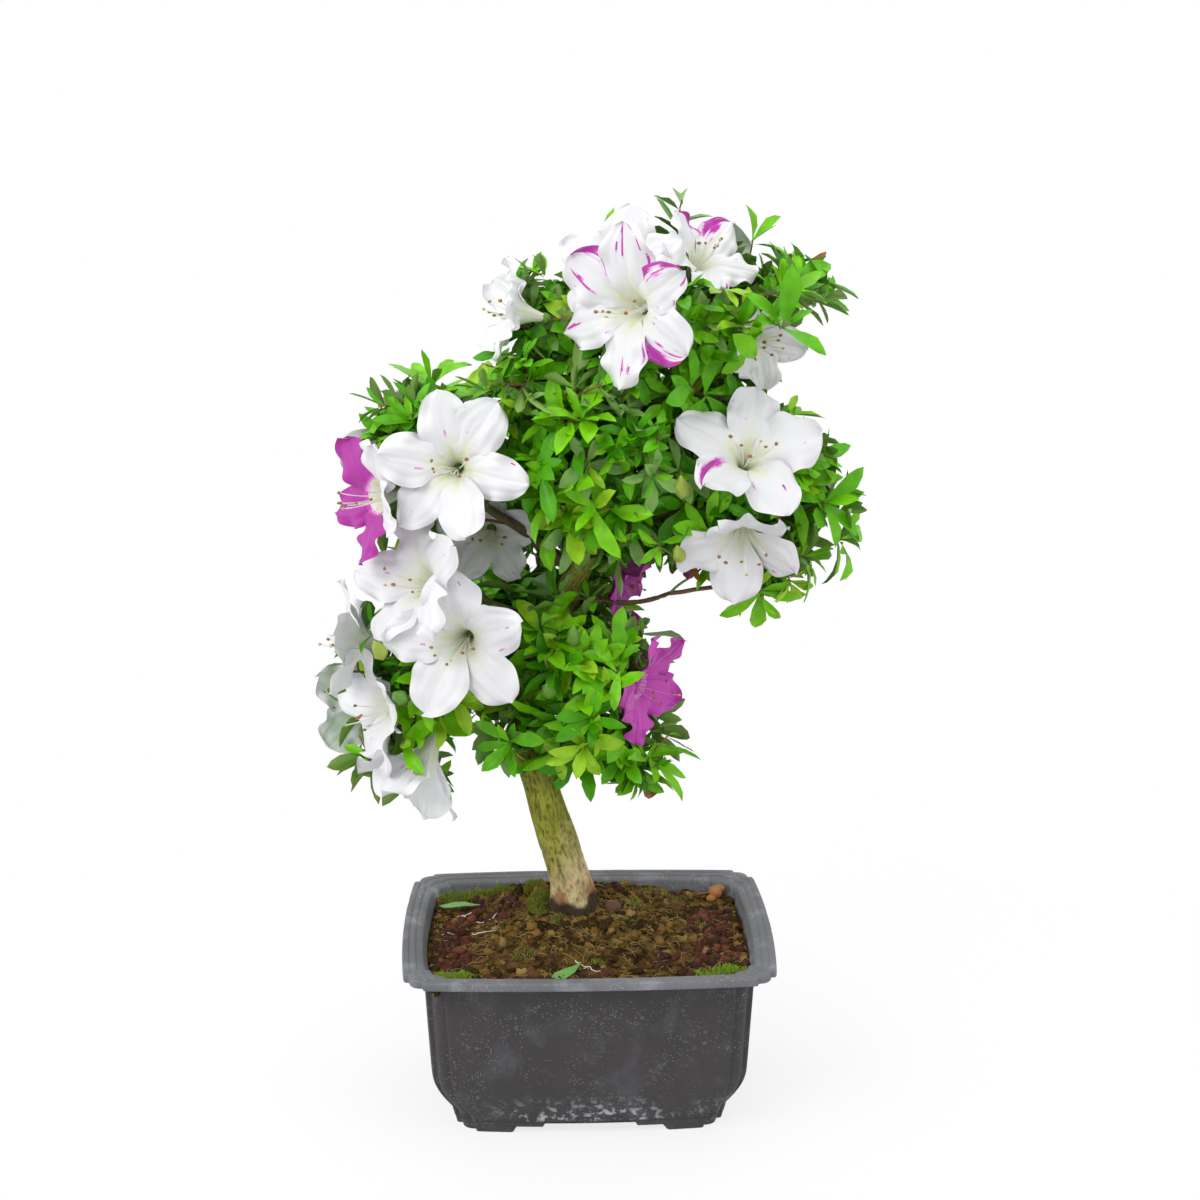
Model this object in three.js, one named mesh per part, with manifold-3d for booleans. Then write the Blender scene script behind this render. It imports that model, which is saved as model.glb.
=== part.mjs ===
// A flowering azalea trained as a bonsai, in its moulded training pot.
// Millimetres, +Z up, X along the pot's long side, -Y towards the pot's front.
// The trunk winds up from the soil to the apex, the boughs leave it for the masses of foliage,
// and the whole is set over the middle of its own footprint at the end.
import * as THREE from 'three';
import { mergeVertices } from 'three/addons/utils/BufferGeometryUtils.js';
import Module from 'manifold-3d';

const wasm = await Module();
wasm.setup();

// space left between neighbouring pieces, and how far a cutting solid passes the face it cuts
const gap = 0.35;
const pass = 1;

// pot: half sizes [x, y] of its outline at each height
const pot = {
  height: 98,
  rimLow: 93.2,
  rimHalf: [101.5, 77],
  rimRound: 1.2,
  wallTopHalf: [91, 67],
  shoulderHalf: [88, 64.5],
  baseHalf: [77.5, 57.5],
  footHalf: [75.5, 56],
  wallMiddle: 64,
  shoulderHeights: [10, 15, 21, 28, 35],
  footHeight: 7,
  wall: 2.6,
  lipHalf: [94.5, 70],
  lipHigh: 98.4,
  throatHalf: [90, 65.5],
  throatHigh: 96.3,
  throatLow: 92.5,
};

// corners of the pot: sides swell by `bow`, end `corner` short and step in by `step` to a lobe
const potCorner = { bow: 3, corner: 13.5, step: 3, segments: 3 };

// feet: width of the skirt they are cut from, and the gaps between them along X and Y
const feet = { width: 10, stepHeight: 3.5, gapHalf: [24.5, 18], stepHalf: [41, 30], overlap: 0.2 };

// soil: level at the wall, height of the heap at the trunk, flat top under the trunk's foot,
// and the low waves on its slope as [height, per mm along X, per mm along Y, turn]
const soil = {
  edge: 89.6,
  heap: 9.4,
  flatRadius: 19,
  reach: 78,
  rings: 4,
  sectors: 16,
  waves: [[0.5, 0.11, 0.13, 1], [0.5, 0.05, -0.19, 0]],
};

// trunk: its way through the crown, and its radius at foot and tip
const trunk = {
  way: [
    [-5.5, 20, 92],
    [-8.5, 20, 116],
    [-20, 18, 151],
    [-23.5, 18, 172],
    [-32, 20, 201],
    [-25, 22, 250],
    [-4, 21, 292],
    [12, 19, 338],
    [29, 20, 366],
    [57, 20, 391],
    [69, 19, 416],
    [75, 18, 444],
  ],
  radii: [11.4, 2],
  taper: 1.35,
  flare: 0.42,
  flareHeight: 13,
  roots: 5,
  rootDepth: 0.13,
  sides: 10,
  steps: 27,
};

const boughLook = { sides: 6, steps: 6, taper: 1 };

// boughs: way from the middle of the trunk to the mass each one feeds, radius at foot and tip
const boughs = {
  bough_low_left: { way: [[-32, 20, 196], [-44, 14, 203], [-60, 10, 209], [-86, 6, 214]], radii: [3.4, 1.6] },
  bough_mid_left: { way: [[-21, 21, 262], [-36, 12, 272], [-60, 3, 285]], radii: [3.2, 1.8] },
  bough_left: { way: [[-6, 21, 290], [-24, 14, 312], [-46, 7, 328], [-62, 3, 340]], radii: [3.6, 1.8] },
  bough_right_low: { way: [[-9, 21, 284], [12, 15, 278], [32, 12, 279], [48, 14, 284]], radii: [1.8, 1.1] },
  bough_right: { way: [[9, 19, 326], [28, 12, 325], [58, 8, 333]], radii: [3.6, 1.9] },
  bough_upper_left: { way: [[38, 20, 375], [18, 16, 392], [-6, 13, 409], [-24, 12, 420]], radii: [3, 1.5] },
  bough_back_low: { way: [[-29, 20, 214], [-30, 38, 225], [-27, 60, 234]], radii: [3.4, 2] },
  bough_back_high: { way: [[8, 20, 320], [11, 40, 330], [13, 62, 337]], radii: [3.6, 2] },
};

const massLook = { bulgeWidth: 0.16, ripple: 0.05, waves: [5.1, 4.3, 6.2], detail: 3 };

// masses of foliage and bloom: middle, half sizes, and bulges as [azimuth, elevation, height];
// azimuth 0 is +X and 90 is +Y, in degrees, and a height is a share of the half size
const masses = {
  mass_apex: {
    at: [54, 19, 426],
    half: [60, 47, 46],
    bulges: [
      [0, 10, 0.38],
      [150, 62, 0.22],
      [75, 70, 0.2],
      [-40, -8, 0.18],
      [-170, -5, 0.16],
      [110, 10, 0.2],
    ],
    phase: 0.4,
  },
  mass_upper_left: {
    at: [-31, 16, 429],
    half: [19, 19, 26],
    bulges: [[170, 10, 0.25], [-90, -30, 0.2], [80, 30, 0.2]],
    phase: 1.7,
    detail: 2,
  },
  mass_middle: {
    at: [20, 12, 362],
    half: [66, 50, 49],
    bulges: [[-160, -40, 0.3], [-90, 10, 0.16], [-20, -30, 0.16], [175, 35, 0.2]],
    phase: 2.9,
  },
  mass_left: {
    at: [-81, 2, 349],
    half: [39, 36, 39],
    bulges: [[150, 55, 0.2], [185, -20, 0.22], [-80, 0, 0.18], [60, 45, 0.16], [-10, -50, 0.3]],
    phase: 4.1,
  },
  mass_right: {
    at: [88, 12, 337],
    half: [38, 38, 54],
    bulges: [[-15, 5, 0.2], [-70, -40, 0.2], [60, -20, 0.18], [-60, 30, 0.14]],
    phase: 5.3,
  },
  mass_right_low: {
    at: [54, 17, 278],
    half: [24, 18, 18],
    bulges: [[-10, -30, 0.3], [120, 10, 0.2]],
    phase: 0.9,
    detail: 2,
  },
  mass_low_left: {
    at: [-80, -2, 271],
    half: [35, 37, 46],
    bulges: [[-100, -25, 0.2], [150, 55, 0.2], [90, 10, 0.18], [0, 45, 0.24]],
    phase: 2.2,
  },
  mass_low_left_tip: {
    at: [-109, 7, 226],
    half: [31, 34, 42],
    bulges: [[-20, -62, 0.72], [175, 45, 0.2], [80, -10, 0.2]],
    phase: 3.6,
  },
  mass_low_middle: {
    at: [-4, 13, 234],
    half: [43, 43, 45],
    bulges: [[-5, -50, 0.34], [185, -28, 0.42], [-60, 10, 0.14], [0, 15, 0.14]],
    phase: 4.8,
  },
  mass_back_low: {
    at: [-24, 74, 242],
    half: [45, 31, 45],
    bulges: [[150, -20, 0.22], [70, 30, 0.18], [20, -30, 0.2]],
    phase: 1.2,
  },
  mass_back_high: {
    at: [14, 76, 342],
    half: [58, 34, 54],
    bulges: [[40, 30, 0.2], [140, -10, 0.22], [90, -40, 0.14], [0, -20, 0.2]],
    phase: 5.9,
  },
};

const looks = {
  pot: { color: 0x4b494b, roughness: 0.62, metalness: 0 },
  soil: { color: 0x3b2518, roughness: 0.97, metalness: 0 },
  bark: { color: 0x6f6a3c, roughness: 0.88, metalness: 0 },
  foliage: { color: 0x3f8a24, roughness: 0.55, metalness: 0 },
};

function solidOf(geometry) {
  const bare = geometry.clone();
  bare.deleteAttribute('normal');
  bare.deleteAttribute('uv');
  const merged = mergeVertices(bare, 1e-4);
  const vertProperties = new Float32Array(merged.attributes.position.array);
  const triVerts = new Uint32Array(merged.index.array);
  return new wasm.Manifold(new wasm.Mesh({ numProp: 3, vertProperties, triVerts }));
}

function geometryOf(solid) {
  const mesh = solid.getMesh();
  const geometry = new THREE.BufferGeometry();
  geometry.setAttribute('position', new THREE.BufferAttribute(new Float32Array(mesh.vertProperties), 3));
  geometry.setIndex(new THREE.BufferAttribute(new Uint32Array(mesh.triVerts), 1));
  const faceted = geometry.toNonIndexed();
  faceted.computeVertexNormals();
  return faceted;
}

function box(sizeX, sizeY, low, high) {
  const geometry = new THREE.BoxGeometry(2 * sizeX, 2 * sizeY, high - low);
  geometry.translate(0, 0, (low + high) / 2);
  return solidOf(geometry);
}

// rectangle with bowed sides and indented, lobed corners, walked from corner to corner
function potOutline([halfX, halfY]) {
  const { bow, corner, step } = potCorner;
  const sideX = halfX - bow;
  const sideY = halfY - bow;
  const shape = new THREE.Shape();
  shape.moveTo(sideX, corner - halfY);
  [[1, 1], [-1, 1], [-1, -1], [1, -1]].forEach(([signX, signY], turn) => {
    const endX = new THREE.Vector2(signX * sideX, signY * (halfY - corner));
    const endY = new THREE.Vector2(signX * (halfX - corner), signY * sideY);
    const dentX = new THREE.Vector2(signX * (sideX - step), endX.y);
    const dentY = new THREE.Vector2(endY.x, signY * (sideY - step));
    const onShortSide = turn % 2 === 0;
    const swell = onShortSide ? [signX * (halfX + bow), 0] : [0, signY * (halfY + bow)];
    const walk = [endX, dentX, dentY, endY];
    const [end, dent, nextDent, nextEnd] = onShortSide ? walk : walk.reverse();
    shape.quadraticCurveTo(...swell, end.x, end.y);
    shape.lineTo(dent.x, dent.y);
    shape.quadraticCurveTo(dentX.x, dentY.y, nextDent.x, nextDent.y);
    shape.lineTo(nextEnd.x, nextEnd.y);
  });
  return shape;
}

// the outline extruded in steps, each step then set to its own height and half sizes
function moulded(levels) {
  const [, fullHalf] = levels.reduce((widest, level) => (level[1][0] > widest[1][0] ? level : widest));
  const geometry = new THREE.ExtrudeGeometry(potOutline(fullHalf), {
    depth: levels.length - 1,
    steps: levels.length - 1,
    curveSegments: potCorner.segments,
    bevelEnabled: false,
  });
  const place = geometry.attributes.position;
  for (let i = 0; i < place.count; i += 1) {
    const [height, half] = levels[Math.round(place.getZ(i))];
    place.setXYZ(i, (place.getX(i) * half[0]) / fullHalf[0], (place.getY(i) * half[1]) / fullHalf[1], height);
  }
  return solidOf(geometry);
}

// half sizes of the outer wall: rounded in below the shoulder, nearly straight above it
function wallHalf(height, inset = 0) {
  const { clamp, lerp } = THREE.MathUtils;
  const bandTop = pot.shoulderHeights.at(0);
  const shoulderTop = pot.shoulderHeights.at(-1);
  const rounding = clamp((height - bandTop) / (shoulderTop - bandTop), 0, 1);
  const rising = clamp((height - shoulderTop) / (pot.rimLow - shoulderTop), 0, 1);
  return [0, 1].map((axis) => {
    const low = lerp(pot.baseHalf[axis], pot.shoulderHalf[axis], Math.sin((rounding * Math.PI) / 2));
    return lerp(low, pot.wallTopHalf[axis], rising) - inset;
  });
}

// shell with its rim, standing on corner feet that are cut from a skirt round its base
function potShell() {
  const wallHeights = [...pot.shoulderHeights, pot.wallMiddle];
  const outside = moulded([pot.footHeight, ...wallHeights, pot.rimLow + pass].map((z) => [z, wallHalf(z)]));
  const eased = pot.rimHalf.map((half) => half - pot.rimRound);
  const rim = moulded([
    [pot.rimLow, eased],
    [pot.rimLow + pot.rimRound, pot.rimHalf],
    [pot.height - pot.rimRound, pot.rimHalf],
    [pot.height, eased],
  ]);
  const skirt = moulded([[0, pot.footHalf], [pot.footHeight + feet.overlap, pot.baseHalf]]);
  const wide = pot.baseHalf[0] + pass;
  const cuts = [
    box(pot.footHalf[0] - feet.width, pot.footHalf[1] - feet.width, -pass, pot.footHeight),
    box(feet.gapHalf[0], wide, -pass, pot.footHeight),
    box(feet.stepHalf[0], wide, -pass, feet.stepHeight),
    box(wide, feet.gapHalf[1], -pass, pot.footHeight),
    box(wide, feet.stepHalf[1], -pass, feet.stepHeight),
  ];
  const standing = cuts.reduce((left, cut) => left.subtract(cut), skirt);
  const hollow = moulded([
    ...[...wallHeights, pot.throatLow].map((z) => [z, wallHalf(z, pot.wall)]),
    [pot.throatHigh, pot.throatHalf],
    [pot.lipHigh, pot.lipHalf],
  ]);
  return outside.add(rim).add(standing).subtract(hollow);
}

// the pot's hollow, filled to a surface that rises in a heap to the trunk's foot
function soilHeap() {
  const inset = pot.wall + gap;
  const [floorTop, ...bends] = pot.shoulderHeights;
  const heights = [floorTop + gap, ...bends, pot.wallMiddle, pot.throatLow, soil.edge + 2 * soil.heap];
  const filling = moulded(heights.map((z) => [z, wallHalf(Math.min(z, pot.throatLow), inset)]));
  const widest = 2 * pot.rimHalf[0];
  const outerSide = [[0, 0], [widest, 0], [widest, soil.edge]];
  const profile = outerSide.map(([radius, height]) => new THREE.Vector2(radius, height));
  for (let ring = soil.rings; ring >= 0; ring -= 1) {
    const share = ring / soil.rings;
    const radius = THREE.MathUtils.lerp(soil.flatRadius, soil.reach, share);
    profile.push(new THREE.Vector2(radius, soil.edge + soil.heap * (0.5 + 0.5 * Math.cos(Math.PI * share))));
  }
  profile.push(new THREE.Vector2(0, soil.edge + soil.heap));
  const geometry = new THREE.LatheGeometry(profile, soil.sectors);
  geometry.rotateX(Math.PI / 2);
  const place = geometry.attributes.position;
  for (let i = 0; i < place.count; i += 1) {
    const x = place.getX(i);
    const y = place.getY(i);
    const radius = Math.hypot(x, y);
    const onSlope = radius > soil.flatRadius + pass && radius < soil.reach + pass && place.getZ(i) > 0;
    const lift = soil.waves.reduce((sum, [high, alongX, alongY, turn]) => {
      return sum + high * Math.sin(x * alongX + y * alongY + turn);
    }, 0);
    place.setZ(i, place.getZ(i) + (onSlope ? lift : 0));
  }
  geometry.translate(trunk.way[0][0], trunk.way[0][1], 0);
  return filling.intersect(solidOf(geometry));
}

// a closed tapering limb: a cylinder whose rings follow a smooth curve through the way's points
function limb({ way, radii, sides, steps, taper }, swell = 0, shape = () => 1) {
  const curve = new THREE.CatmullRomCurve3(way.map((point) => new THREE.Vector3(...point)));
  const frames = curve.computeFrenetFrames(steps);
  const geometry = new THREE.CylinderGeometry(1, 1, 1, sides, steps);
  const place = geometry.attributes.position;
  for (let i = 0; i < place.count; i += 1) {
    const ring = Math.round((place.getY(i) + 0.5) * steps);
    const share = ring / steps;
    const angle = Math.atan2(place.getZ(i), place.getX(i));
    const middle = curve.getPointAt(share);
    const radius = THREE.MathUtils.lerp(radii[0], radii[1], share ** taper) * shape(middle.z, angle) + swell;
    const point = middle
      .addScaledVector(frames.normals[ring], place.getX(i) * radius)
      .addScaledVector(frames.binormals[ring], -place.getZ(i) * radius);
    place.setXYZ(i, point.x, point.y, point.z);
  }
  return solidOf(geometry);
}

// root flare: the foot spreads towards the soil, more along a few root lobes
function rootFlare(height, angle) {
  const lift = Math.max(height - soil.edge - soil.heap, 0);
  const spread = Math.exp(-lift / trunk.flareHeight);
  return 1 + spread * (trunk.flare + trunk.rootDepth * Math.cos(trunk.roots * angle));
}

function trunkSolid(swell = 0) {
  const ground = soil.edge + soil.heap + gap - swell;
  const below = box(pot.rimHalf[0], pot.rimHalf[0], -ground, ground);
  return limb(trunk, swell, rootFlare).subtract(below);
}

// an uneven closed mass: an ellipsoid whose radius grows along each bulge and ripples in between
function foliage({ at, half, bulges, phase, detail = massLook.detail }, swell = 0) {
  const geometry = new THREE.IcosahedronGeometry(1, detail);
  const rays = bulges.map(([azimuth, elevation, height]) => {
    const across = THREE.MathUtils.degToRad(azimuth);
    const up = THREE.MathUtils.degToRad(elevation);
    const ray = new THREE.Vector3().setFromSphericalCoords(1, Math.PI / 2 - up, across + Math.PI / 2);
    ray.set(ray.x, -ray.z, ray.y);
    return { ray, height };
  });
  const place = geometry.attributes.position;
  for (let i = 0; i < place.count; i += 1) {
    const way = new THREE.Vector3().fromBufferAttribute(place, i).normalize();
    const bulge = rays.reduce(
      (sum, { ray, height }) => sum + height * Math.exp((way.dot(ray) - 1) / massLook.bulgeWidth),
      0,
    );
    const [alongX, alongY, alongZ] = massLook.waves;
    const wave = Math.sin(alongX * way.x + phase) * Math.cos(alongY * way.y - phase);
    const radius = 1 + bulge + massLook.ripple * (wave + Math.sin(alongZ * way.z + 2 * phase));
    place.setXYZ(
      i,
      at[0] + way.x * (half[0] * radius + swell),
      at[1] + way.y * (half[1] * radius + swell),
      at[2] + way.z * (half[2] * radius + swell),
    );
  }
  return solidOf(geometry);
}

// what is left of a solid once its neighbours are cut away, without any crumbs
function cutFree(solid, neighbours) {
  const left = neighbours.reduce((rest, neighbour) => rest.subtract(neighbour), solid);
  return left.decompose().reduce((best, piece) => (piece.volume() > best.volume() ? piece : best));
}

const tree = new THREE.Group();

function addPiece(name, solid, look) {
  const mesh = new THREE.Mesh(geometryOf(solid), new THREE.MeshStandardMaterial(look));
  mesh.name = name;
  tree.add(mesh);
}

addPiece('pot', potShell(), looks.pot);
addPiece('soil', soilHeap(), looks.soil);
addPiece('trunk', trunkSolid(), looks.bark);

const grown = [trunkSolid(gap)];
for (const [name, plan] of Object.entries(boughs)) {
  const bough = { ...boughLook, ...plan };
  addPiece(name, cutFree(limb(bough), grown.slice(0, 1)), looks.bark);
  grown.push(limb(bough, gap));
}
for (const [name, plan] of Object.entries(masses)) {
  addPiece(name, cutFree(foliage(plan), grown), looks.foliage);
  grown.push(foliage(plan, gap));
}

const reach = new THREE.Box3().setFromObject(tree);
const middle = reach.getCenter(new THREE.Vector3());
tree.position.set(-middle.x, -middle.y, -reach.min.z);

export default tree;
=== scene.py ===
import math
import bpy
import numpy as np
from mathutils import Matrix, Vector
from mathutils.bvhtree import BVHTree


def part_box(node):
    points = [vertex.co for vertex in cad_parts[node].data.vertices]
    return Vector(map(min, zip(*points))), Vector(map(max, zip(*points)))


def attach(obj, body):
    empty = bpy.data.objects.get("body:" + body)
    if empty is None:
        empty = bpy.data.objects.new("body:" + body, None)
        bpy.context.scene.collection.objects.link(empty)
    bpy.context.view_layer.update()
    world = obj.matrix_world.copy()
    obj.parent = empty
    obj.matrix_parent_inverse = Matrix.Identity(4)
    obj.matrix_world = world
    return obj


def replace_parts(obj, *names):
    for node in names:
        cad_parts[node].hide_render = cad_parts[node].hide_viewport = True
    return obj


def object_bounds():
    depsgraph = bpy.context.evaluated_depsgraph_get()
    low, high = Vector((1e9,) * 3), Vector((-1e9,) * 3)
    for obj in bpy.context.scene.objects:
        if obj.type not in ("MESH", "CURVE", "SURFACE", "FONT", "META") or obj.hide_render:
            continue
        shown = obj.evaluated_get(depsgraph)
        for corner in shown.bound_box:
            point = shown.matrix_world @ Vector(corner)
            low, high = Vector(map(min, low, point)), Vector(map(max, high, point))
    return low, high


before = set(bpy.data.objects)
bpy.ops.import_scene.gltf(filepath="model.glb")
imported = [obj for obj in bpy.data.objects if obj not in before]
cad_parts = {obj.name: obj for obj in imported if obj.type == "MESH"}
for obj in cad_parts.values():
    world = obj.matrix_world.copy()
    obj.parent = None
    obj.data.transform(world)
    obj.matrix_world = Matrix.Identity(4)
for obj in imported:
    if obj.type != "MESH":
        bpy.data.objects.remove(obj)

cadLow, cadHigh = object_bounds()
mm = 0.001
up = np.array([0.0, 0.0, 1.0])


# eases 0..1 with no slope at either end: t * t * (3 - 2 t)
def ease(t):
    t = np.clip(t, 0.0, 1.0)
    return t * t * (3.0 - 2.0 * t)


# straight blend: a + (b - a) * t
def mix(a, b, t):
    return a + (b - a) * t


# every vector scaled to length one
def unit(v):
    return v / np.maximum(np.linalg.norm(v, axis=-1, keepdims=True), 1e-9)


# unit vector from azimuth (0 = +X, 90 = +Y) and elevation, both in degrees
def facing(azimuth, elevation):
    a, e = np.radians(azimuth), np.radians(elevation)
    return np.stack([np.cos(e) * np.cos(a), np.cos(e) * np.sin(a), np.sin(e)], -1)


# a fixed number in -1..1 for each whole cell: the fractional part of a large sine
def cellValue(ix, iy, seed):
    value = np.sin(ix * 127.1 + iy * 311.7 + seed * 74.7) * 43758.5453
    return 2.0 * (value - np.floor(value)) - 1.0


# smooth noise in -1..1: four cell values blended by eased distance; wrapX closes it on itself
def noise(x, y, seed, wrapX=0):
    ix, iy = np.floor(x), np.floor(y)
    fx, fy = ease(x - ix), ease(y - iy)
    left, right = (np.mod(ix, wrapX), np.mod(ix + 1, wrapX)) if wrapX else (ix, ix + 1)
    low = mix(cellValue(left, iy, seed), cellValue(right, iy, seed), fx)
    high = mix(cellValue(left, iy + 1, seed), cellValue(right, iy + 1, seed), fx)
    return mix(low, high, fy)


# sum of noises, each octave half as large and twice as fine
def layeredNoise(x, y, seed, octaves=3):
    layers = [noise(x * 2 ** k, y * 2 ** k, seed + k) * 0.5 ** k for k in range(octaves)]
    return sum(layers) / sum(0.5 ** k for k in range(octaves))


# a line of numbers blurred by a bell curve, its ends carried on straight so that they stay put
def blurLine(values, width):
    reach = int(3 * width) + 1
    before = 2 * values[:1] - values[reach:0:-1]
    after = 2 * values[-1:] - values[-2:-reach - 2:-1]
    bell = np.exp(-0.5 * (np.arange(-reach, reach + 1) / width) ** 2)
    padded = np.concatenate([before, values, after])
    columns = padded.reshape(len(padded), -1).T
    blurred = [np.convolve(column, bell / bell.sum(), mode="valid") for column in columns]
    return np.array(blurred).T.reshape(values.shape)


# points along a line at even shares of its length
def evenly(line, count):
    run = np.concatenate([[0.0], np.cumsum(np.linalg.norm(np.diff(line, axis=0), axis=1))])
    at = np.linspace(0.0, run[-1], count)
    return np.stack([np.interp(at, run, line[:, k]) for k in range(line.shape[1])], -1)


# the four corners of each cell of a rows x cols grid; wrap joins the last column to the first
def gridFaces(rows, cols, wrap=False):
    r = np.arange(rows - 1)[:, None] * cols
    c = np.arange(cols if wrap else cols - 1)[None, :]
    n = (c + 1) % cols
    return np.stack([r + c, r + n, r + cols + n, r + cols + c], -1).reshape(-1, 4)


# the same faces for many copies of one shape whose corners follow each other
def copyFaces(faces, copies, corners):
    shift = np.arange(copies)[:, None, None] * corners
    return (faces[None] + shift).reshape(-1, faces.shape[1])


# faces of a closed skin of rings: the grid between the rings, then a fan at each end round one of the
# two poles that follow the rings' corners
def skinFaces(rows, cols):
    c = np.arange(cols)
    n = (c + 1) % cols
    last = (rows - 1) * cols
    foot = np.stack([n, c, np.full(cols, rows * cols)], -1)
    tip = np.stack([last + c, last + n, np.full(cols, rows * cols + 1)], -1)
    return gridFaces(rows, cols, wrap=True), np.concatenate([foot, tip])


# one tint for each face, from one tint for each of the copies that the faces belong to
def faceTints(tints, *faceSets):
    return np.concatenate([np.repeat(tints, len(faces) // len(tints)) for faces in faceSets])


# a new piece from corners and faces, riding on the plant; faceSets holds arrays of 3 or 4 corners,
# faceSlots picks each face's material, and marks are numbers that the materials read by name
def addPiece(name, points, faceSets, materials, faceSlots=None, marks=None):
    mesh = bpy.data.meshes.new(name)
    points = np.asarray(points, float).reshape(-1, 3)
    corners = np.concatenate([faces.reshape(-1) for faces in faceSets]).astype(np.int32)
    sizes = np.concatenate([np.full(len(faces), faces.shape[1]) for faces in faceSets])
    starts = np.concatenate([[0], np.cumsum(sizes)[:-1]]).astype(np.int32)
    mesh.vertices.add(len(points))
    mesh.vertices.foreach_set("co", points.astype(np.float32).ravel())
    mesh.loops.add(len(corners))
    mesh.loops.foreach_set("vertex_index", corners)
    mesh.polygons.add(len(sizes))
    mesh.polygons.foreach_set("loop_start", starts)
    mesh.polygons.foreach_set("use_smooth", np.ones(len(sizes), bool))
    for material in materials:
        mesh.materials.append(material)
    if faceSlots is not None:
        mesh.polygons.foreach_set("material_index", np.asarray(faceSlots, np.int32).ravel())
    for markName, values in (marks or {}).items():
        mark = mesh.attributes.new(markName, "FLOAT", "POINT")
        mark.data.foreach_set("value", np.asarray(values, np.float32).ravel())
    mesh.update(calc_edges=True)
    piece = bpy.data.objects.new(name, mesh)
    bpy.context.scene.collection.objects.link(piece)
    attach(piece, "root")
    print(name, len(points), "corners", int((sizes - 2).sum()), "triangles")
    return piece


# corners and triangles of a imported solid, equal corners merged
def solidArrays(name):
    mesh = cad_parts[name].data
    points = np.empty(len(mesh.vertices) * 3, np.float32)
    mesh.vertices.foreach_get("co", points)
    mesh.calc_loop_triangles()
    corners = np.empty(len(mesh.loop_triangles) * 3, np.int32)
    mesh.loop_triangles.foreach_get("vertices", corners)
    merged, index = np.unique(np.round(points.reshape(-1, 3), 6), axis=0, return_inverse=True)
    return merged, index.reshape(-1)[corners].reshape(-1, 3)


# place within a node's box, as shares of its sides
def within(name, shares):
    low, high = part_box(name)
    return np.array(low) + (np.array(high) - np.array(low)) * np.array(shares)


# middle line and radius of a limb: planes across one axis cut its edges, and each cut's middle and
# smaller half width give one row of (x, y, z, radius)
def limbLine(name, axis, count, blur):
    points, triangles = solidArrays(name)
    pairs = np.concatenate([triangles[:, [0, 1]], triangles[:, [1, 2]], triangles[:, [2, 0]]])
    edges = np.unique(np.sort(pairs), axis=0)
    start, end = points[edges[:, 0]], points[edges[:, 1]]
    low, high = points[:, axis].min(), points[:, axis].max()
    rows = []
    inset = 0.015                                      # share of the length left off at each end
    for level in np.linspace(mix(low, high, inset), mix(low, high, 1 - inset), count):
        across = (start[:, axis] - level) * (end[:, axis] - level) < 0
        a, b = start[across], end[across]
        cut = a + (b - a) * ((level - a[:, axis]) / (b[:, axis] - a[:, axis]))[:, None]
        half = np.delete((cut.max(0) - cut.min(0)) / 2, axis)
        rows.append([*(cut.max(0) + cut.min(0)) / 2, half.min()])
    return blurLine(np.array(rows), blur)


# rings round a line: each ring lies across the line's direction, with its first corner towards
# `side`; radius may be one number for each ring or one for each corner
def ringsAlong(line, radius, sides, side):
    tangent = unit(np.gradient(line, axis=-2))
    first = unit(np.broadcast_to(side, tangent.shape) - tangent * (tangent * side).sum(-1, keepdims=True))
    second = np.cross(tangent, first)
    angle = np.linspace(0, 2 * np.pi, sides, endpoint=False)
    radius = np.asarray(radius)
    radius = radius[..., None] if radius.ndim < line.ndim else radius
    out = np.cos(angle)[:, None] * first[..., None, :] + np.sin(angle)[:, None] * second[..., None, :]
    return line[..., None, :] + out * radius[..., None]


# many tubes with pointed ends, from lines (n, steps, 3) and radii (n, steps): corners and faces
def tubes(lines, radii, sides, side):
    count, steps = lines.shape[:2]
    rings = ringsAlong(lines, radii, sides, side).reshape(count, steps * sides, 3)
    ends = np.stack([lines[:, 0], lines[:, -1] + (lines[:, -1] - lines[:, -2]) * 0.15], 1)
    points = np.concatenate([rings, ends], 1)
    quads, caps = (copyFaces(faces, count, points.shape[1]) for faces in skinFaces(steps, sides))
    return points, quads, caps


# many small uneven lumps: squashed balls with poles, each corner pushed in or out at random
def lumps(places, sizes, rng, rows=5, cols=7, squash=0.75, uneven=0.22):
    count = len(places)
    polar = np.linspace(0, np.pi, rows + 2)[1:-1]
    turn = np.linspace(0, 2 * np.pi, cols, endpoint=False)
    ball = np.stack([np.sin(polar)[:, None] * np.cos(turn), np.sin(polar)[:, None] * np.sin(turn),
                     np.cos(polar)[:, None] * np.ones(cols)], -1).reshape(-1, 3)
    ball = np.concatenate([ball, [[0, 0, 1.0], [0, 0, -1.0]]])
    shapes = ball[None] * (1 + uneven * rng.uniform(-1, 1, (count, len(ball), 1)))
    shapes = shapes * rng.uniform([0.8, 0.6, squash * 0.7], [1.25, 1.0, squash * 1.2], (count, 3))[:, None]
    spin = rng.uniform(0, 2 * np.pi, count)
    x = shapes[..., 0] * np.cos(spin)[:, None] - shapes[..., 1] * np.sin(spin)[:, None]
    y = shapes[..., 0] * np.sin(spin)[:, None] + shapes[..., 1] * np.cos(spin)[:, None]
    shapes = np.stack([x, y, shapes[..., 2]], -1)
    points = places[:, None] + shapes * sizes[:, None, None]
    quads, caps = (copyFaces(faces[:, ::-1], count, len(ball)) for faces in skinFaces(rows, cols))
    return points, quads, caps


# a node with its settings and its inputs, each a plain value or another node's output
def addNode(tree, kind, inputs=None, **settings):
    node = tree.nodes.new(kind)
    for name, value in settings.items():
        setattr(node, name, value)
    for name, value in (inputs or {}).items():
        if isinstance(value, bpy.types.NodeSocket):
            tree.links.new(value, node.inputs[name])
        else:
            node.inputs[name].default_value = value
    return node


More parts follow.
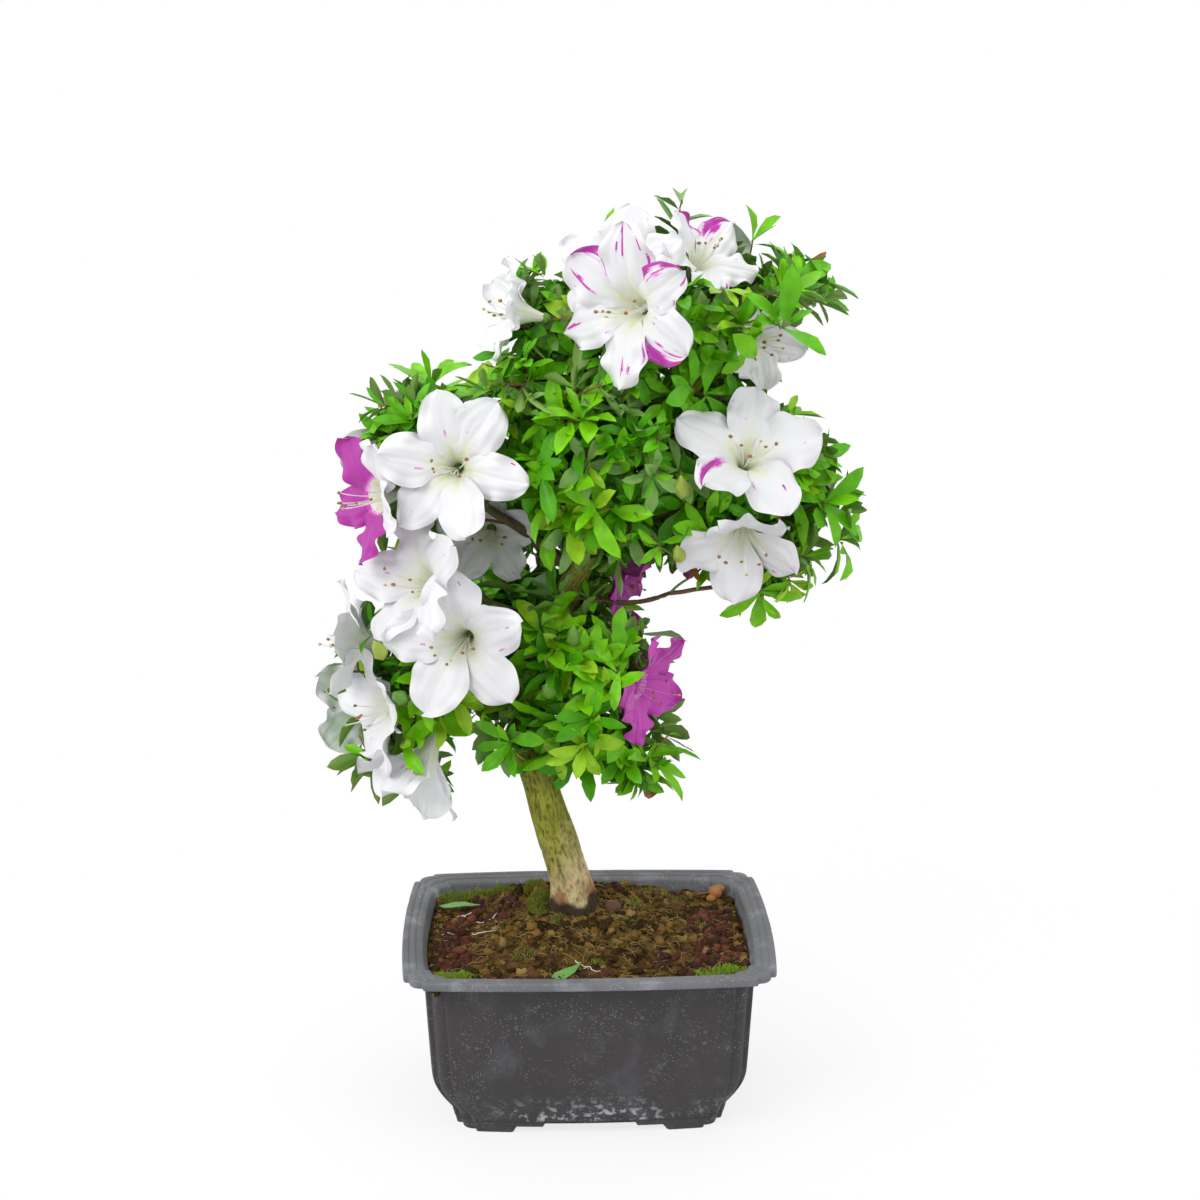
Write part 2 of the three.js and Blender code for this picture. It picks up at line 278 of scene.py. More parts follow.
# an empty shader node group with named inputs (name, kind, value) and outputs (name, kind)
def newGroup(name, inputs, outputs):
    tree = bpy.data.node_groups.new(name, "ShaderNodeTree")
    for label, kind, value in inputs:
        socket = tree.interface.new_socket(label, in_out="INPUT", socket_type="NodeSocket" + kind)
        if value is not None:
            socket.default_value = value
    for label, kind in outputs:
        tree.interface.new_socket(label, in_out="OUTPUT", socket_type="NodeSocket" + kind)
    return tree, addNode(tree, "NodeGroupInput").outputs, addNode(tree, "NodeGroupOutput").inputs


# arithmetic on one or two values
def valueMath(tree, operation, a, b=0.0):
    return addNode(tree, "ShaderNodeMath", {0: a, 1: b}, operation=operation).outputs[0]


# a * b
def times(tree, a, b):
    return valueMath(tree, "MULTIPLY", a, b)


# a value carried over from start..stop to low..high, and held there beyond the ends
def ramp(tree, value, start, stop, low=0.0, high=1.0):
    return addNode(tree, "ShaderNodeMapRange", {"Value": value, "From Min": start, "From Max": stop,
                                                "To Min": low, "To Max": high}).outputs["Result"]


# soft noise in 0..1 over a place
def noiseMask(tree, place, scale, detail):
    inputs = {"Vector": place, "Scale": scale, "Detail": detail}
    return addNode(tree, "ShaderNodeTexNoise", inputs).outputs["Fac"]


# a shared group placed in a material with its own values
def putGroup(tree, group, **inputs):
    node = addNode(tree, "ShaderNodeGroup", node_tree=group)
    for name, value in inputs.items():
        socket = node.inputs[name]
        if isinstance(value, bpy.types.NodeSocket):
            tree.links.new(value, socket)
        else:
            socket.default_value = value
    return node.outputs[0]


# patches: soft noise stretched to a mask that rises from 0 to 1 between its From and To
def patchesGroup():
    tree, given, out = newGroup("patches", [("Place", "Vector", None), ("Scale", "Float", 100.0),
                                            ("From", "Float", 0.4), ("To", "Float", 0.6)],
                                [("Mask", "Float")])
    cloud = noiseMask(tree, given["Place"], given["Scale"], 4.0)
    tree.links.new(ramp(tree, cloud, given["From"], given["To"]), out["Mask"])
    return tree


# specks: dots, or rings when Inner is above 0, on the cells of a voronoi pattern, thinned out by patches
def specksGroup(patches):
    tree, given, out = newGroup("specks", [("Place", "Vector", None), ("Scale", "Float", 400.0),
                                           ("Size", "Float", 0.2), ("Inner", "Float", -1.0),
                                           ("Share", "Float", 0.5)], [("Mask", "Float")])
    cells = addNode(tree, "ShaderNodeTexVoronoi", {"Vector": given["Place"], "Scale": given["Scale"]})
    distance = cells.outputs["Distance"]
    ring = times(tree, valueMath(tree, "LESS_THAN", distance, given["Size"]),
                 valueMath(tree, "GREATER_THAN", distance, given["Inner"]))
    choice = addNode(tree, "ShaderNodeSeparateColor", {"Color": cells.outputs["Color"]}).outputs["Red"]
    chosen = times(tree, ring, valueMath(tree, "LESS_THAN", choice, given["Share"]))
    thinned = putGroup(tree, patches, Place=given["Place"], Scale=45.0)
    tree.links.new(times(tree, chosen, thinned), out["Mask"])
    return tree


# grain: fine noise as the height of a bump, given out as a normal
def grainGroup():
    tree, given, out = newGroup("grain", [("Place", "Vector", None), ("Scale", "Float", 900.0),
                                          ("Depth", "Float", 0.0002), ("Strength", "Float", 0.4)],
                                [("Normal", "Vector")])
    fine = noiseMask(tree, given["Place"], given["Scale"], 5.0)
    relief = addNode(tree, "ShaderNodeBump", {"Height": fine, "Distance": given["Depth"],
                                              "Strength": given["Strength"]})
    tree.links.new(relief.outputs["Normal"], out["Normal"])
    return tree


patches = patchesGroup()
specks = specksGroup(patches)
grain = grainGroup()


# a material and its shader; constant values sit on the shader's own sockets
def newMaterial(name, colour, roughness, **constants):
    material = bpy.data.materials.new(name)
    material.use_nodes = True
    tree = material.node_tree
    shader = tree.nodes["Principled BSDF"]
    shader.inputs["Base Color"].default_value = (*colour, 1.0)
    shader.inputs["Roughness"].default_value = roughness
    for socket, value in constants.items():
        shader.inputs[socket.replace("_", " ")].default_value = value
    place = addNode(tree, "ShaderNodeTexCoord").outputs["Object"]
    return material, tree, shader, place


# one colour laid over another where the mask is high
def layColour(tree, under, over, mask):
    node = addNode(tree, "ShaderNodeMix", data_type="RGBA")
    for socket, value in ((node.inputs[0], mask), (node.inputs[6], under), (node.inputs[7], over)):
        if isinstance(value, bpy.types.NodeSocket):
            tree.links.new(value, socket)
        else:
            socket.default_value = value if isinstance(value, float) else (*value, 1.0)
    return node.outputs[2]


# a colour times a share, held at 1
def scaled(colour, share):
    return tuple(min(c * share, 1.0) for c in colour)


# one axis of the place on the object
def axisOf(tree, place, axis):
    return addNode(tree, "ShaderNodeSeparateXYZ", {"Vector": place}).outputs[axis]


# a mask from the height above the floor: 0 at `low`, 1 at `high`
def heightMask(tree, place, low, high):
    return ramp(tree, axisOf(tree, place, "Z"), low, high)


# soft patches on a surface, from the shared group
def cloudMask(tree, place, scale, start, stop):
    return putGroup(tree, patches, Place=place, Scale=scale, From=start, To=stop)


# the last step of a material: its colour, and the grain of its surface
def linkLooks(tree, shader, place, tone, grainScale, depth, strength):
    tree.links.new(tone, shader.inputs["Base Color"])
    normal = putGroup(tree, grain, Place=place, Scale=grainScale, Depth=depth, Strength=strength)
    tree.links.new(normal, shader.inputs["Normal"])


# a plain surface whose tone wanders a little between a darker and a lighter patch, with fine grain
def plainMaterial(name, colour, roughness, wander=0.18, scale=120.0, depth=0.2 * mm, **constants):
    material, tree, shader, place = newMaterial(name, colour, roughness, **constants)
    mask = cloudMask(tree, place, scale, 0.3, 0.7)
    tone = layColour(tree, scaled(colour, 1 - wander), scaled(colour, 1 + wander), mask)
    linkLooks(tree, shader, place, tone, 900.0, depth, 0.5)
    return material


# plain materials from rows of name, colour, roughness and how far the tone wanders
def plainSet(rows, **constants):
    return [plainMaterial(name, colour, roughness, wander=wander, **constants)
            for name, colour, roughness, wander in rows]


potShape = {
    "bow": 3 * mm, "corner": 13.5 * mm, "step": 3 * mm,                # swell of a side, its end, its dent
    "wallTop": (10.5 * mm, 10 * mm), "shoulder": (13.5 * mm, 12.5 * mm),   # insets from the rim, x and y
    "base": (24 * mm, 19.5 * mm), "foot": (26 * mm, 21 * mm), "footWidth": 10 * mm,
    "wall": 2.6 * mm, "rimDepth": 4.8 * mm, "floor": 10 * mm, "shoulderHeight": 35 * mm,
    "footHeight": 7 * mm, "stepHeight": 3.5 * mm,
    "gapHalf": (24.5 * mm, 18 * mm), "stepHalf": (41 * mm, 30 * mm), "ramp": 1.8 * mm,   # between the feet
    "wave": 0.22 * mm, "nick": 0.16 * mm,                              # unevenness of the wall and the rim
    # the rim's section, from under its lip to the inside: inset and rise in mm
    "rim": [(8.4, 0), (4, 0), (1.2, 0), (0.35, 0.25), (0.05, 0.9), (0, 2), (0.05, 3.4), (0.15, 4.1),
            (0.5, 4.6), (1.1, 4.8), (2.1, 4.8), (3.0, 4.75), (3.35, 4.6), (3.6, 4.2), (3.9, 4.15),
            (4.2, 4.3), (4.6, 4.45), (5.8, 4.5), (6.7, 4.4), (7.0, 4.2), (7.3, 3.65), (7.6, 3.6),
            (7.9, 3.7), (9.2, 3.3), (10.4, 2.8), (11.1, 2.2), (11.4, 1.2), (11.6, 0.2)],
}
potLow, potHigh = (np.array(corner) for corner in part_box("pot"))
potMiddle = (potLow + potHigh) / 2
rimHalf = (potHigh - potLow)[:2] / 2
potTop = potHigh[2]


# outline of the pot for each row of half sizes: from the middle of the right side round a quarter,
# a bowed half side, a dent, a round lobe, a dent and a bowed half side, then mirrored three times;
# returns x and y, the side each corner belongs to (0 short, 1 long, 2 lobe), and how far along it is
def potOutline(halfX, halfY):
    halfX, halfY = np.asarray(halfX)[:, None], np.asarray(halfY)[:, None]
    bow, corner, step = potShape["bow"], potShape["corner"], potShape["step"]
    sideX, sideY = halfX - bow, halfY - bow
    t = np.linspace(0.5, 1, 34)[None]
    shortX = ((1 - t) ** 2 + t ** 2) * sideX + 2 * t * (1 - t) * (halfX + bow)
    shortY = (2 * t - 1) * (halfY - corner)
    d = np.linspace(0, 1, 6)[None, 1:-1]
    dentX, dentY = sideX - step * d, (halfY - corner) + 0 * d
    c = np.linspace(0, 1, 20)[None]
    lobeX = (sideX - step) * (1 - c * c) + (halfX - corner) * c * c
    lobeY = (halfY - corner) * (1 - c) ** 2 + (sideY - step) * (1 - (1 - c) ** 2)
    riseX, riseY = (halfX - corner) + 0 * d, sideY - step * (1 - d)
    s = np.linspace(1, 0.5, 44)[None]
    longX = (2 * s - 1) * (halfX - corner)
    longY = ((1 - s) ** 2 + s ** 2) * sideY + 2 * s * (1 - s) * (halfY + bow)
    x = np.concatenate([shortX, dentX, lobeX, riseX, longX], 1)
    y = np.concatenate([shortY, dentY, lobeY, riseY, longY], 1)
    side = np.repeat([0, 2, 1], [34, 4 + 20 + 4, 44])
    x = np.concatenate([x, -x[:, -2::-1], -x[:, 1:], x[:, -2:0:-1]], 1)
    y = np.concatenate([y, y[:, -2::-1], -y[:, 1:], -y[:, -2:0:-1]], 1)
    side = np.concatenate([side, side[-2::-1], side[1:], side[-2:0:-1]])
    for _ in range(2):
        x = (np.roll(x, 1, 1) + 2 * x + np.roll(x, -1, 1)) / 4
        y = (np.roll(y, 1, 1) + 2 * y + np.roll(y, -1, 1)) / 4
    return x, y, side


# insets of the outer wall: a quarter sine from base to shoulder, then straight to the rim
def wallInset(z):
    z = np.asarray(z, float)
    low, shoulder, topOfWall = potShape["floor"], potShape["shoulderHeight"], potTop - potShape["rimDepth"]
    rounding = np.sin(np.clip((z - low) / (shoulder - low), 0, 1) * np.pi / 2)
    rising = np.clip((z - shoulder) / (topOfWall - shoulder), 0, 1)
    return [mix(mix(potShape["base"][k], potShape["shoulder"][k], rounding), potShape["wallTop"][k], rising)
            for k in (0, 1)]


# the pot is one skin of rings: up the outside from the underside's middle, over the rim and down inside;
# a row is x inset, y inset, height, share of the foot's height taken off, and how far it shrinks
def potRows():
    foot, width, base = potShape["foot"], potShape["footWidth"], potShape["footHeight"]
    rows = [[foot[0] + width, foot[1] + width, base, 0, shrink] for shrink in (0.1, 0.4, 0.7, 1)]
    rows += [[foot[0] + width, foot[1] + width, base, share, 1] for share in (0.5, 0.93)]
    rows += [[foot[0] + width - 0.4 * mm, foot[1] + width - 0.4 * mm, base, 1, 1]]
    rows += [[foot[0] + inset, foot[1] + inset, base, share, 1]
             for inset, share in ((4 * mm, 1), (0.7 * mm, 1), (0.2 * mm, 0.95), (0, 0.85), (-0.6 * mm, 0.45))]
    rows += [[foot[0] - 1.4 * mm, foot[1] - 1.2 * mm, base - 0.5 * mm, 0.02, 1]]
    rows += [[foot[0] - 0.9 * mm, foot[1] - 0.7 * mm, base + 0.3 * mm, 0, 1]]
    wallHeights = np.concatenate([np.linspace(base + 1.2 * mm, potShape["shoulderHeight"] + 4 * mm, 26),
                                  np.linspace(potShape["shoulderHeight"] + 6 * mm, potTop - 7.5 * mm, 22)])
    rows += [[*insets, z, 0, 1] for *insets, z in zip(*wallInset(wallHeights), wallHeights)]
    under = potTop - potShape["rimDepth"]
    rows += [[10.3 * mm, 9.8 * mm, under - 1.1 * mm, 0, 1], [9.6 * mm, 9.1 * mm, under - 0.3 * mm, 0, 1]]
    rows += [[inset * mm, inset * mm, under + rise * mm, 0, 1] for inset, rise in potShape["rim"]]
    insideHeights = np.linspace(potTop - 7 * mm, potShape["floor"], 22)
    rows += [[x + potShape["wall"], y + potShape["wall"], z, 0, 1]
             for x, y, z in zip(*wallInset(insideHeights), insideHeights)]
    rows += [[*rows[-1][:3], 0, shrink] for shrink in (0.7, 0.4, 0.1)]
    return np.array(rows)


# the pot's skin: one outline for each row, where height = the row's height less its share of what the
# feet take off, and the outline grows by the unevenness over its distance from the middle
def makePot(materials):
    rows = potRows()
    count = len(rows)
    x, y, side = potOutline(rimHalf[0] - rows[:, 0], rimHalf[1] - rows[:, 1])
    along = np.where(side == 0, np.abs(y), np.where(side == 1, np.abs(x), 1.0))
    gapEnd = np.where(side == 0, potShape["gapHalf"][1], potShape["gapHalf"][0])
    stepEnd = np.where(side == 0, potShape["stepHalf"][1], potShape["stepHalf"][0])
    # the feet stand on the floor, a step lies between each foot and the gap, and the gap stays open
    rises = [ease((along - end) / potShape["ramp"] + 0.5) for end in (gapEnd, stepEnd)]
    taken = np.maximum(potShape["stepHeight"] * sum(rises), 0.1 * mm)
    z = rows[:, 2:3] - rows[:, 3:4] * taken
    # the moulding isn't quite true: soft waves on the wall, small nicks along the rim
    turn = np.linspace(0, 1, x.shape[1], endpoint=False)[None]
    wave = noise(turn * 14, rows[:, 2:3] / (26 * mm), 3, wrapX=14) * potShape["wave"]
    nick = layeredNoise(turn * 120, rows[:, 0:1] / (3 * mm) + rows[:, 2:3] / (3 * mm), 8, 2)
    onRim = (rows[:, 2:3] > potTop - potShape["rimDepth"] - mm) & (rows[:, 0:1] < potShape["wallTop"][0])
    rough = (wave + np.where(onRim, nick * potShape["nick"], 0)) * (rows[:, 2:3] > potShape["footHeight"])
    length = np.hypot(x, y)
    shrink = rows[:, 4:5]
    x = potMiddle[0] + x * shrink * (1 + np.minimum(rough, 0.1 * mm) / length)
    y = potMiddle[1] + y * shrink * (1 + np.minimum(rough, 0.1 * mm) / length)
    z = z + np.where(onRim, np.minimum(nick, 0) * 0.15 * mm, 0)
    cols = x.shape[1]
    ends = [[*potMiddle[:2], rows[0, 2]], [*potMiddle[:2], rows[-1, 2]]]
    points = np.concatenate([np.stack([x, y, z], -1).reshape(-1, 3), ends])
    rimRow = (rows[:-1, 2] > potTop - 7.4 * mm) & (np.arange(count - 1) > 50)   # from under the lip inwards
    slots = np.concatenate([np.repeat(rimRow, cols), np.zeros(2 * cols, bool)])
    piece = addPiece("pot_shell", points, skinFaces(count, cols), materials, slots)
    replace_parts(piece, "pot")


# specks and rings of dried drops: scale, outer and inner size, share of the cells, strength
potSpecks = [(900.0, 0.28, -1.0, 0.32, 0.7), (380.0, 0.16, -1.0, 0.3, 0.6), (330.0, 0.38, 0.29, 0.12, 0.4)]


# charcoal plastic with a lighter bloom of limescale: cloudy tone, a chalky crust near the base,
# white specks and fine scratches
def potMaterial(name, base, chalk, amount):
    material, tree, shader, place = newMaterial(name, base, 0.6)
    stretched = addNode(tree, "ShaderNodeMapping", {"Vector": place, "Scale": (1.0, 1.0, 0.75)}).outputs[0]
    cloud = cloudMask(tree, stretched, 26.0, 0.35, 0.75)
    tone = layColour(tree, scaled(base, 0.86), scaled(base, 1.25), cloud)
    fog = cloudMask(tree, stretched, 70.0, 0.52, 0.8)
    tone = layColour(tree, tone, chalk, times(tree, fog, 0.20 * amount))
    # the crust lies low on the wall and thins out towards the corners
    aside = valueMath(tree, "ABSOLUTE", valueMath(tree, "ADD", axisOf(tree, place, "X"),
                                                  8 * mm - float(potMiddle[0])))
    central = ramp(tree, aside, 22 * mm, 58 * mm, 1.0, 0.25)
    wide = valueMath(tree, "MAXIMUM", cloudMask(tree, place, 34.0, 0.47, 0.6),
                     valueMath(tree, "SUBTRACT", central, 0.3))
    nearBase = times(tree, heightMask(tree, place, 26 * mm, 11 * mm), heightMask(tree, place, 7 * mm, 9 * mm))
    crust = times(tree, cloudMask(tree, place, 240.0, 0.53, 0.62), times(tree, wide, central))
    tone = layColour(tree, tone, (0.62, 0.66, 0.7), times(tree, times(tree, crust, nearBase), 0.85))
    for scale, size, inner, share, strength in potSpecks:
        mask = putGroup(tree, specks, Place=place, Scale=scale, Size=size, Inner=inner, Share=share)
        tone = layColour(tree, tone, chalk, times(tree, mask, strength))
    scratch = addNode(tree, "ShaderNodeMapping", {"Vector": place, "Rotation": (0.3, 0.5, 0.0),
                                                  "Scale": (60.0, 60.0, 700.0)}).outputs[0]
    tone = layColour(tree, tone, chalk, times(tree, cloudMask(tree, scratch, 1.0, 0.70, 0.74), 0.2 * amount))
    linkLooks(tree, shader, place, tone, 1400.0, 0.25 * mm, 0.45)
    tree.links.new(ramp(tree, cloud, 0.0, 1.0, 0.52, 0.7), shader.inputs["Roughness"])
    return material


# the rim is a lighter copy of the pot's plastic: partly its heavier limescale, partly painted reflection of
# the bright room on its top face
makePot([potMaterial("potBody", (0.042, 0.038, 0.041), (0.27, 0.27, 0.29), 0.9),
         potMaterial("potRimLimeAndPaintedReflection", (0.165, 0.170, 0.185), (0.50, 0.53, 0.57), 2.0)])


soilShape = {
    "edge": 9.4 * mm, "flat": 19 * mm, "reach": 78 * mm,    # fall of the heap, and where it starts and ends
    "lump": 2.3 * mm, "crumb": 1.26 * mm, "fine": 0.35 * mm, "sink": 1.0 * mm,
    "gap": 0.4 * mm, "rings": 120, "seed": 21,
    "margin": 4.5 * mm, "clear": 11 * mm,                   # loose things keep off the walls and the trunk
}
trunkPoints = limbLine("trunk", 2, 70, 1.6)
soilLow, soilHigh = (np.array(corner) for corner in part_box("soil"))
heapMiddle = trunkPoints[0, :2]


# height of the soil: a cosine heap round the trunk's foot, plus lumps, crevices and crumbs
def soilHeight(x, y):
    radius = np.hypot(x - heapMiddle[0], y - heapMiddle[1])
    share = np.clip((radius - soilShape["flat"]) / (soilShape["reach"] - soilShape["flat"]), 0, 1)
    heap = soilHigh[2] - soilShape["edge"] * (0.5 - 0.5 * np.cos(np.pi * share))
    lump = layeredNoise(x / (11 * mm), y / (11 * mm), 31, 2) * soilShape["lump"]
    crumb = (1 - np.abs(layeredNoise(x / (4.2 * mm), y / (4.2 * mm), 35, 2)) * 2) * soilShape["crumb"]
    fine = layeredNoise(x / (1.6 * mm), y / (1.6 * mm), 39, 2) * soilShape["fine"]
    return heap + lump + crumb + fine - soilShape["sink"]


# the soil fills the pot: rings from the heap out to the wall, down the wall and in along the floor
def makeSoil(materials):
    lowest = potShape["floor"] + soilShape["gap"]
    heights = np.concatenate([[potTop - 8 * mm], np.linspace(potTop - 14 * mm, lowest, 16)])
    insets = np.array(wallInset(heights)) + potShape["wall"] + soilShape["gap"]
    wallX, wallY, _ = potOutline(rimHalf[0] - insets[0], rimHalf[1] - insets[1])
    wallX, wallY = wallX + potMiddle[0], wallY + potMiddle[1]
    share = np.linspace(0.02, 1, soilShape["rings"])[:, None]
    topX = mix(heapMiddle[0], wallX[:1], share)
    topY = mix(heapMiddle[1], wallY[:1], share)
    top = np.stack([topX, topY, soilHeight(topX, topY)], -1)
    side = np.stack([wallX[1:], wallY[1:], np.broadcast_to(heights[1:, None], wallX[1:].shape)], -1)
    skin = np.concatenate([top, side])
    rows, cols = skin.shape[:2]
    ends = [[*heapMiddle, float(soilHeight(*heapMiddle))], [*potMiddle[:2], heights[-1]]]
    points = np.concatenate([skin.reshape(-1, 3), ends])
    inwards = [faces[:, ::-1] for faces in skinFaces(rows, cols)]
    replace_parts(addPiece("soil_ground", points, inwards, materials), "soil")


# dark fibrous compost: brown tones in patches, pale flecks, and redder patches
def soilMaterial():
    material, tree, shader, place = newMaterial("compost", (0.06, 0.035, 0.02), 0.95, Specular_IOR_Level=0.12)
    clods = cloudMask(tree, place, 170.0, 0.38, 0.64)
    tone = layColour(tree, (0.026, 0.014, 0.004), (0.16, 0.092, 0.022), clods)
    red = cloudMask(tree, place, 60.0, 0.52, 0.66)
    tone = layColour(tree, tone, (0.12, 0.045, 0.03), times(tree, red, 0.6))
    flecks = cloudMask(tree, place, 900.0, 0.6, 0.7)
    tone = layColour(tree, tone, (0.24, 0.15, 0.07), times(tree, flecks, 0.6))
    linkLooks(tree, shader, place, tone, 1100.0, 0.6 * mm, 0.8)
    return material


# random places on the soil: shares of its box inside an oval round `at`, kept off the walls
def onSoil(rng, count, at, spread, sink=0.3 * mm):
    turn, out = rng.uniform(0, 2 * np.pi, count), np.sqrt(rng.uniform(0, 1, count))
    size = (soilHigh - soilLow)[:2]
    margin = soilShape["margin"] / size
    shares = np.array(at) + np.stack([np.cos(turn), np.sin(turn)], -1) * out[:, None] * np.array(spread)
    shares = np.clip(shares, margin, 1 - margin)
    x, y = (soilLow[:2] + size * shares).T
    away = np.hypot(x - heapMiddle[0], y - heapMiddle[1]) > soilShape["clear"]
    x, y = x[away], y[away]
    return np.stack([x, y, soilHeight(x, y) - sink], -1)


# drifts are how many, the middle and the spread as shares of the soil's box; grades are sizes in mm
# and their shares; tints are the shares of the materials
crumbShape = {
    "drifts": [(1500, (0.5, 0.5), (0.72, 0.72)), (500, (0.5, 0.62), (0.3, 0.3))],
    "grades": ([1.0, 1.9, 3.6], [0.42, 0.38, 0.20]), "tints": [0.46, 0.44, 0.10],
}
gravelShape = {
    "drifts": [(150, (0.07, 0.42), (0.07, 0.26)), (60, (0.2, 0.75), (0.1, 0.16)),
               (190, (0.91, 0.5), (0.09, 0.3)), (40, (0.8, 0.22), (0.14, 0.1)),
               (50, (0.36, 0.07), (0.3, 0.05)), (30, (0.6, 0.93), (0.36, 0.06)),
               (24, (0.5, 0.5), (0.6, 0.6))],
    "sizes": (1.3, 3.2), "tints": [0.5, 0.35, 0.15],
}


# clods of compost all over, and red gravel in drifts along the walls
def makeCrumbs(rng):
    sheen = {"Specular_IOR_Level": 0.12}
    tints = plainSet([("crumbDark", (0.042, 0.026, 0.008), 0.95, 0.4),
                      ("crumbBrown", (0.20, 0.115, 0.026), 0.95, 0.4)], depth=0.5 * mm, **sheen)
    tints += plainSet([("crumbFawn", (0.30, 0.19, 0.06), 0.92, 0.3)], depth=0.4 * mm, **sheen)
    places = np.concatenate([onSoil(rng, *drift) for drift in crumbShape["drifts"]])
    grades, shares = crumbShape["grades"]
    sizes = rng.uniform(0.7, 1.0, len(places)) * rng.choice(grades, len(places), p=shares) * mm
    points, quads, caps = lumps(places, sizes, rng, rows=4, cols=7, uneven=0.5)
    tint = rng.choice(3, len(places), p=crumbShape["tints"])
    addPiece("soil_crumbs", points, [quads, caps], tints, faceTints(tint, quads, caps))

    reds = plainSet([("gravelRed", (0.10, 0.032, 0.02), 0.85, 0.35),
                     ("gravelPlum", (0.055, 0.024, 0.018), 0.85, 0.35),
                     ("gravelRust", (0.16, 0.06, 0.03), 0.85, 0.3)], depth=0.4 * mm, Specular_IOR_Level=0.15)
    places = np.concatenate([onSoil(rng, *drift, sink=0.1 * mm) for drift in gravelShape["drifts"]])
    sizes = rng.uniform(*gravelShape["sizes"], len(places)) * mm
    points, quads, caps = lumps(places, sizes, rng, rows=4, cols=6, uneven=0.36, squash=0.9)
    tint = rng.choice(3, len(places), p=gravelShape["tints"])
    addPiece("soil_gravel", points, [quads, caps], reds, faceTints(tint, quads, caps))


# a flat pebble by the trunk and a brown curl of three lumps by the wall: shares of the soil's box, sizes
# and lifts in mm
pebbleShape = {
    "spots": [(0.585, 0.64), (0.93, 0.90), (0.945, 0.93), (0.915, 0.865)],
    "sizes": (5.2, 4.6, 3.4, 3.4), "lifts": (1.2, 2.5, 5.0, 1.5),
}


# the pebble and the curl: lumps, each resting at the soil's height plus its lift
def makePebbles(rng):
    spots, sizes = pebbleShape["spots"], np.array(pebbleShape["sizes"]) * mm
    x, y = (soilLow[:2] + (soilHigh - soilLow)[:2] * np.array(spots)).T
    places = np.stack([x, y, soilHeight(x, y) + np.array(pebbleShape["lifts"]) * mm], -1)
    points, quads, caps = lumps(places, sizes, rng, rows=9, cols=14, uneven=0.05)
    tints = plainSet([("pebbleBrown", (0.17, 0.08, 0.045), 0.8, 0.3),
                      ("curlRust", (0.36, 0.15, 0.035), 0.6, 0.4)])
    addPiece("soil_pebbles", points, [quads, caps], tints, faceTints([0, 1, 1, 1], quads, caps))


# threads of root and fibre that lie on the soil: each wanders in a flat curve with a little lift
def threadLines(rng, places, lengths, steps, lift, curl):
    count = len(places)
    turn = rng.uniform(0, 2 * np.pi, (count, 1)) + np.cumsum(rng.normal(0, curl, (count, steps)), 1)
    stride = (lengths / steps)[:, None]
    x = places[:, :1] + np.cumsum(np.cos(turn) * stride, 1)
    y = places[:, 1:2] + np.cumsum(np.sin(turn) * stride, 1)
    inset = 4 * mm
    x = np.clip(x, soilLow[0] + inset, soilHigh[0] - inset)
    y = np.clip(y, soilLow[1] + inset, soilHigh[1] - inset)
    arch = np.sin(np.linspace(0, np.pi, steps)) * rng.uniform(0.2, 1, (count, 1))
    z = soilHeight(x, y) + lift * (0.3 + arch)
    return blurLine(np.moveaxis(np.stack([x, y, z], -1), 1, 0), 0.8).swapaxes(0, 1)


# drifts as for the crumbs, lengths in mm, and the share of the radius that is left at the tip; each
# root has its own spot
fibreShape = {
    "drifts": [(900, (0.5, 0.5), (0.7, 0.7)), (420, (0.5, 0.55), (0.3, 0.32))],
    "lengths": (4, 14), "steps": 7, "lift": 1.4 * mm, "curl": 0.5,
    "radius": 0.16 * mm, "tip": 0.5, "sides": 3, "tints": [0.62, 0.38],
}
rootSpots = [(0.10, 0.62), (0.14, 0.66), (0.09, 0.56), (0.17, 0.7),
             (0.13, 0.52), (0.2, 0.62), (0.46, 0.24), (0.48, 0.18)]
rootShape = {
    "drifts": [(1, spot, (0.01, 0.01)) for spot in rootSpots],
    "lengths": (11, 20), "steps": 14, "lift": 2.2 * mm, "curl": 0.38,
    "radius": 0.38 * mm, "tip": 0.55, "sides": 6,
}


# tubes along thread lines, thinning evenly towards their tips
def threadTubes(shape, rng):
    places = np.concatenate([onSoil(rng, *drift) for drift in shape["drifts"]])
    lengths = rng.uniform(*shape["lengths"], len(places)) * mm
    lines = threadLines(rng, places, lengths, shape["steps"], shape["lift"], shape["curl"])
    radii = np.full(lines.shape[:2], shape["radius"]) * np.linspace(1, shape["tip"], shape["steps"])
    return tubes(lines, radii, shape["sides"], up)


# thin fibres all over, and a few thick white roots
def makeThreads(rng):
    tints = plainSet([("fibreBrown", (0.24, 0.14, 0.035), 0.9, 0.18),
                      ("fibreStraw", (0.48, 0.37, 0.12), 0.85, 0.18)])
    points, quads, caps = threadTubes(fibreShape, rng)
    tint = rng.choice(2, len(points), p=fibreShape["tints"])
    addPiece("soil_fibres", points, [quads, caps], tints, faceTints(tint, quads, caps))

    points, quads, caps = threadTubes(rootShape, rng)
    rootWhite = plainMaterial("rootWhite", (0.72, 0.68, 0.62), 0.7)
    addPiece("soil_roots", points, [quads, caps], [rootWhite])


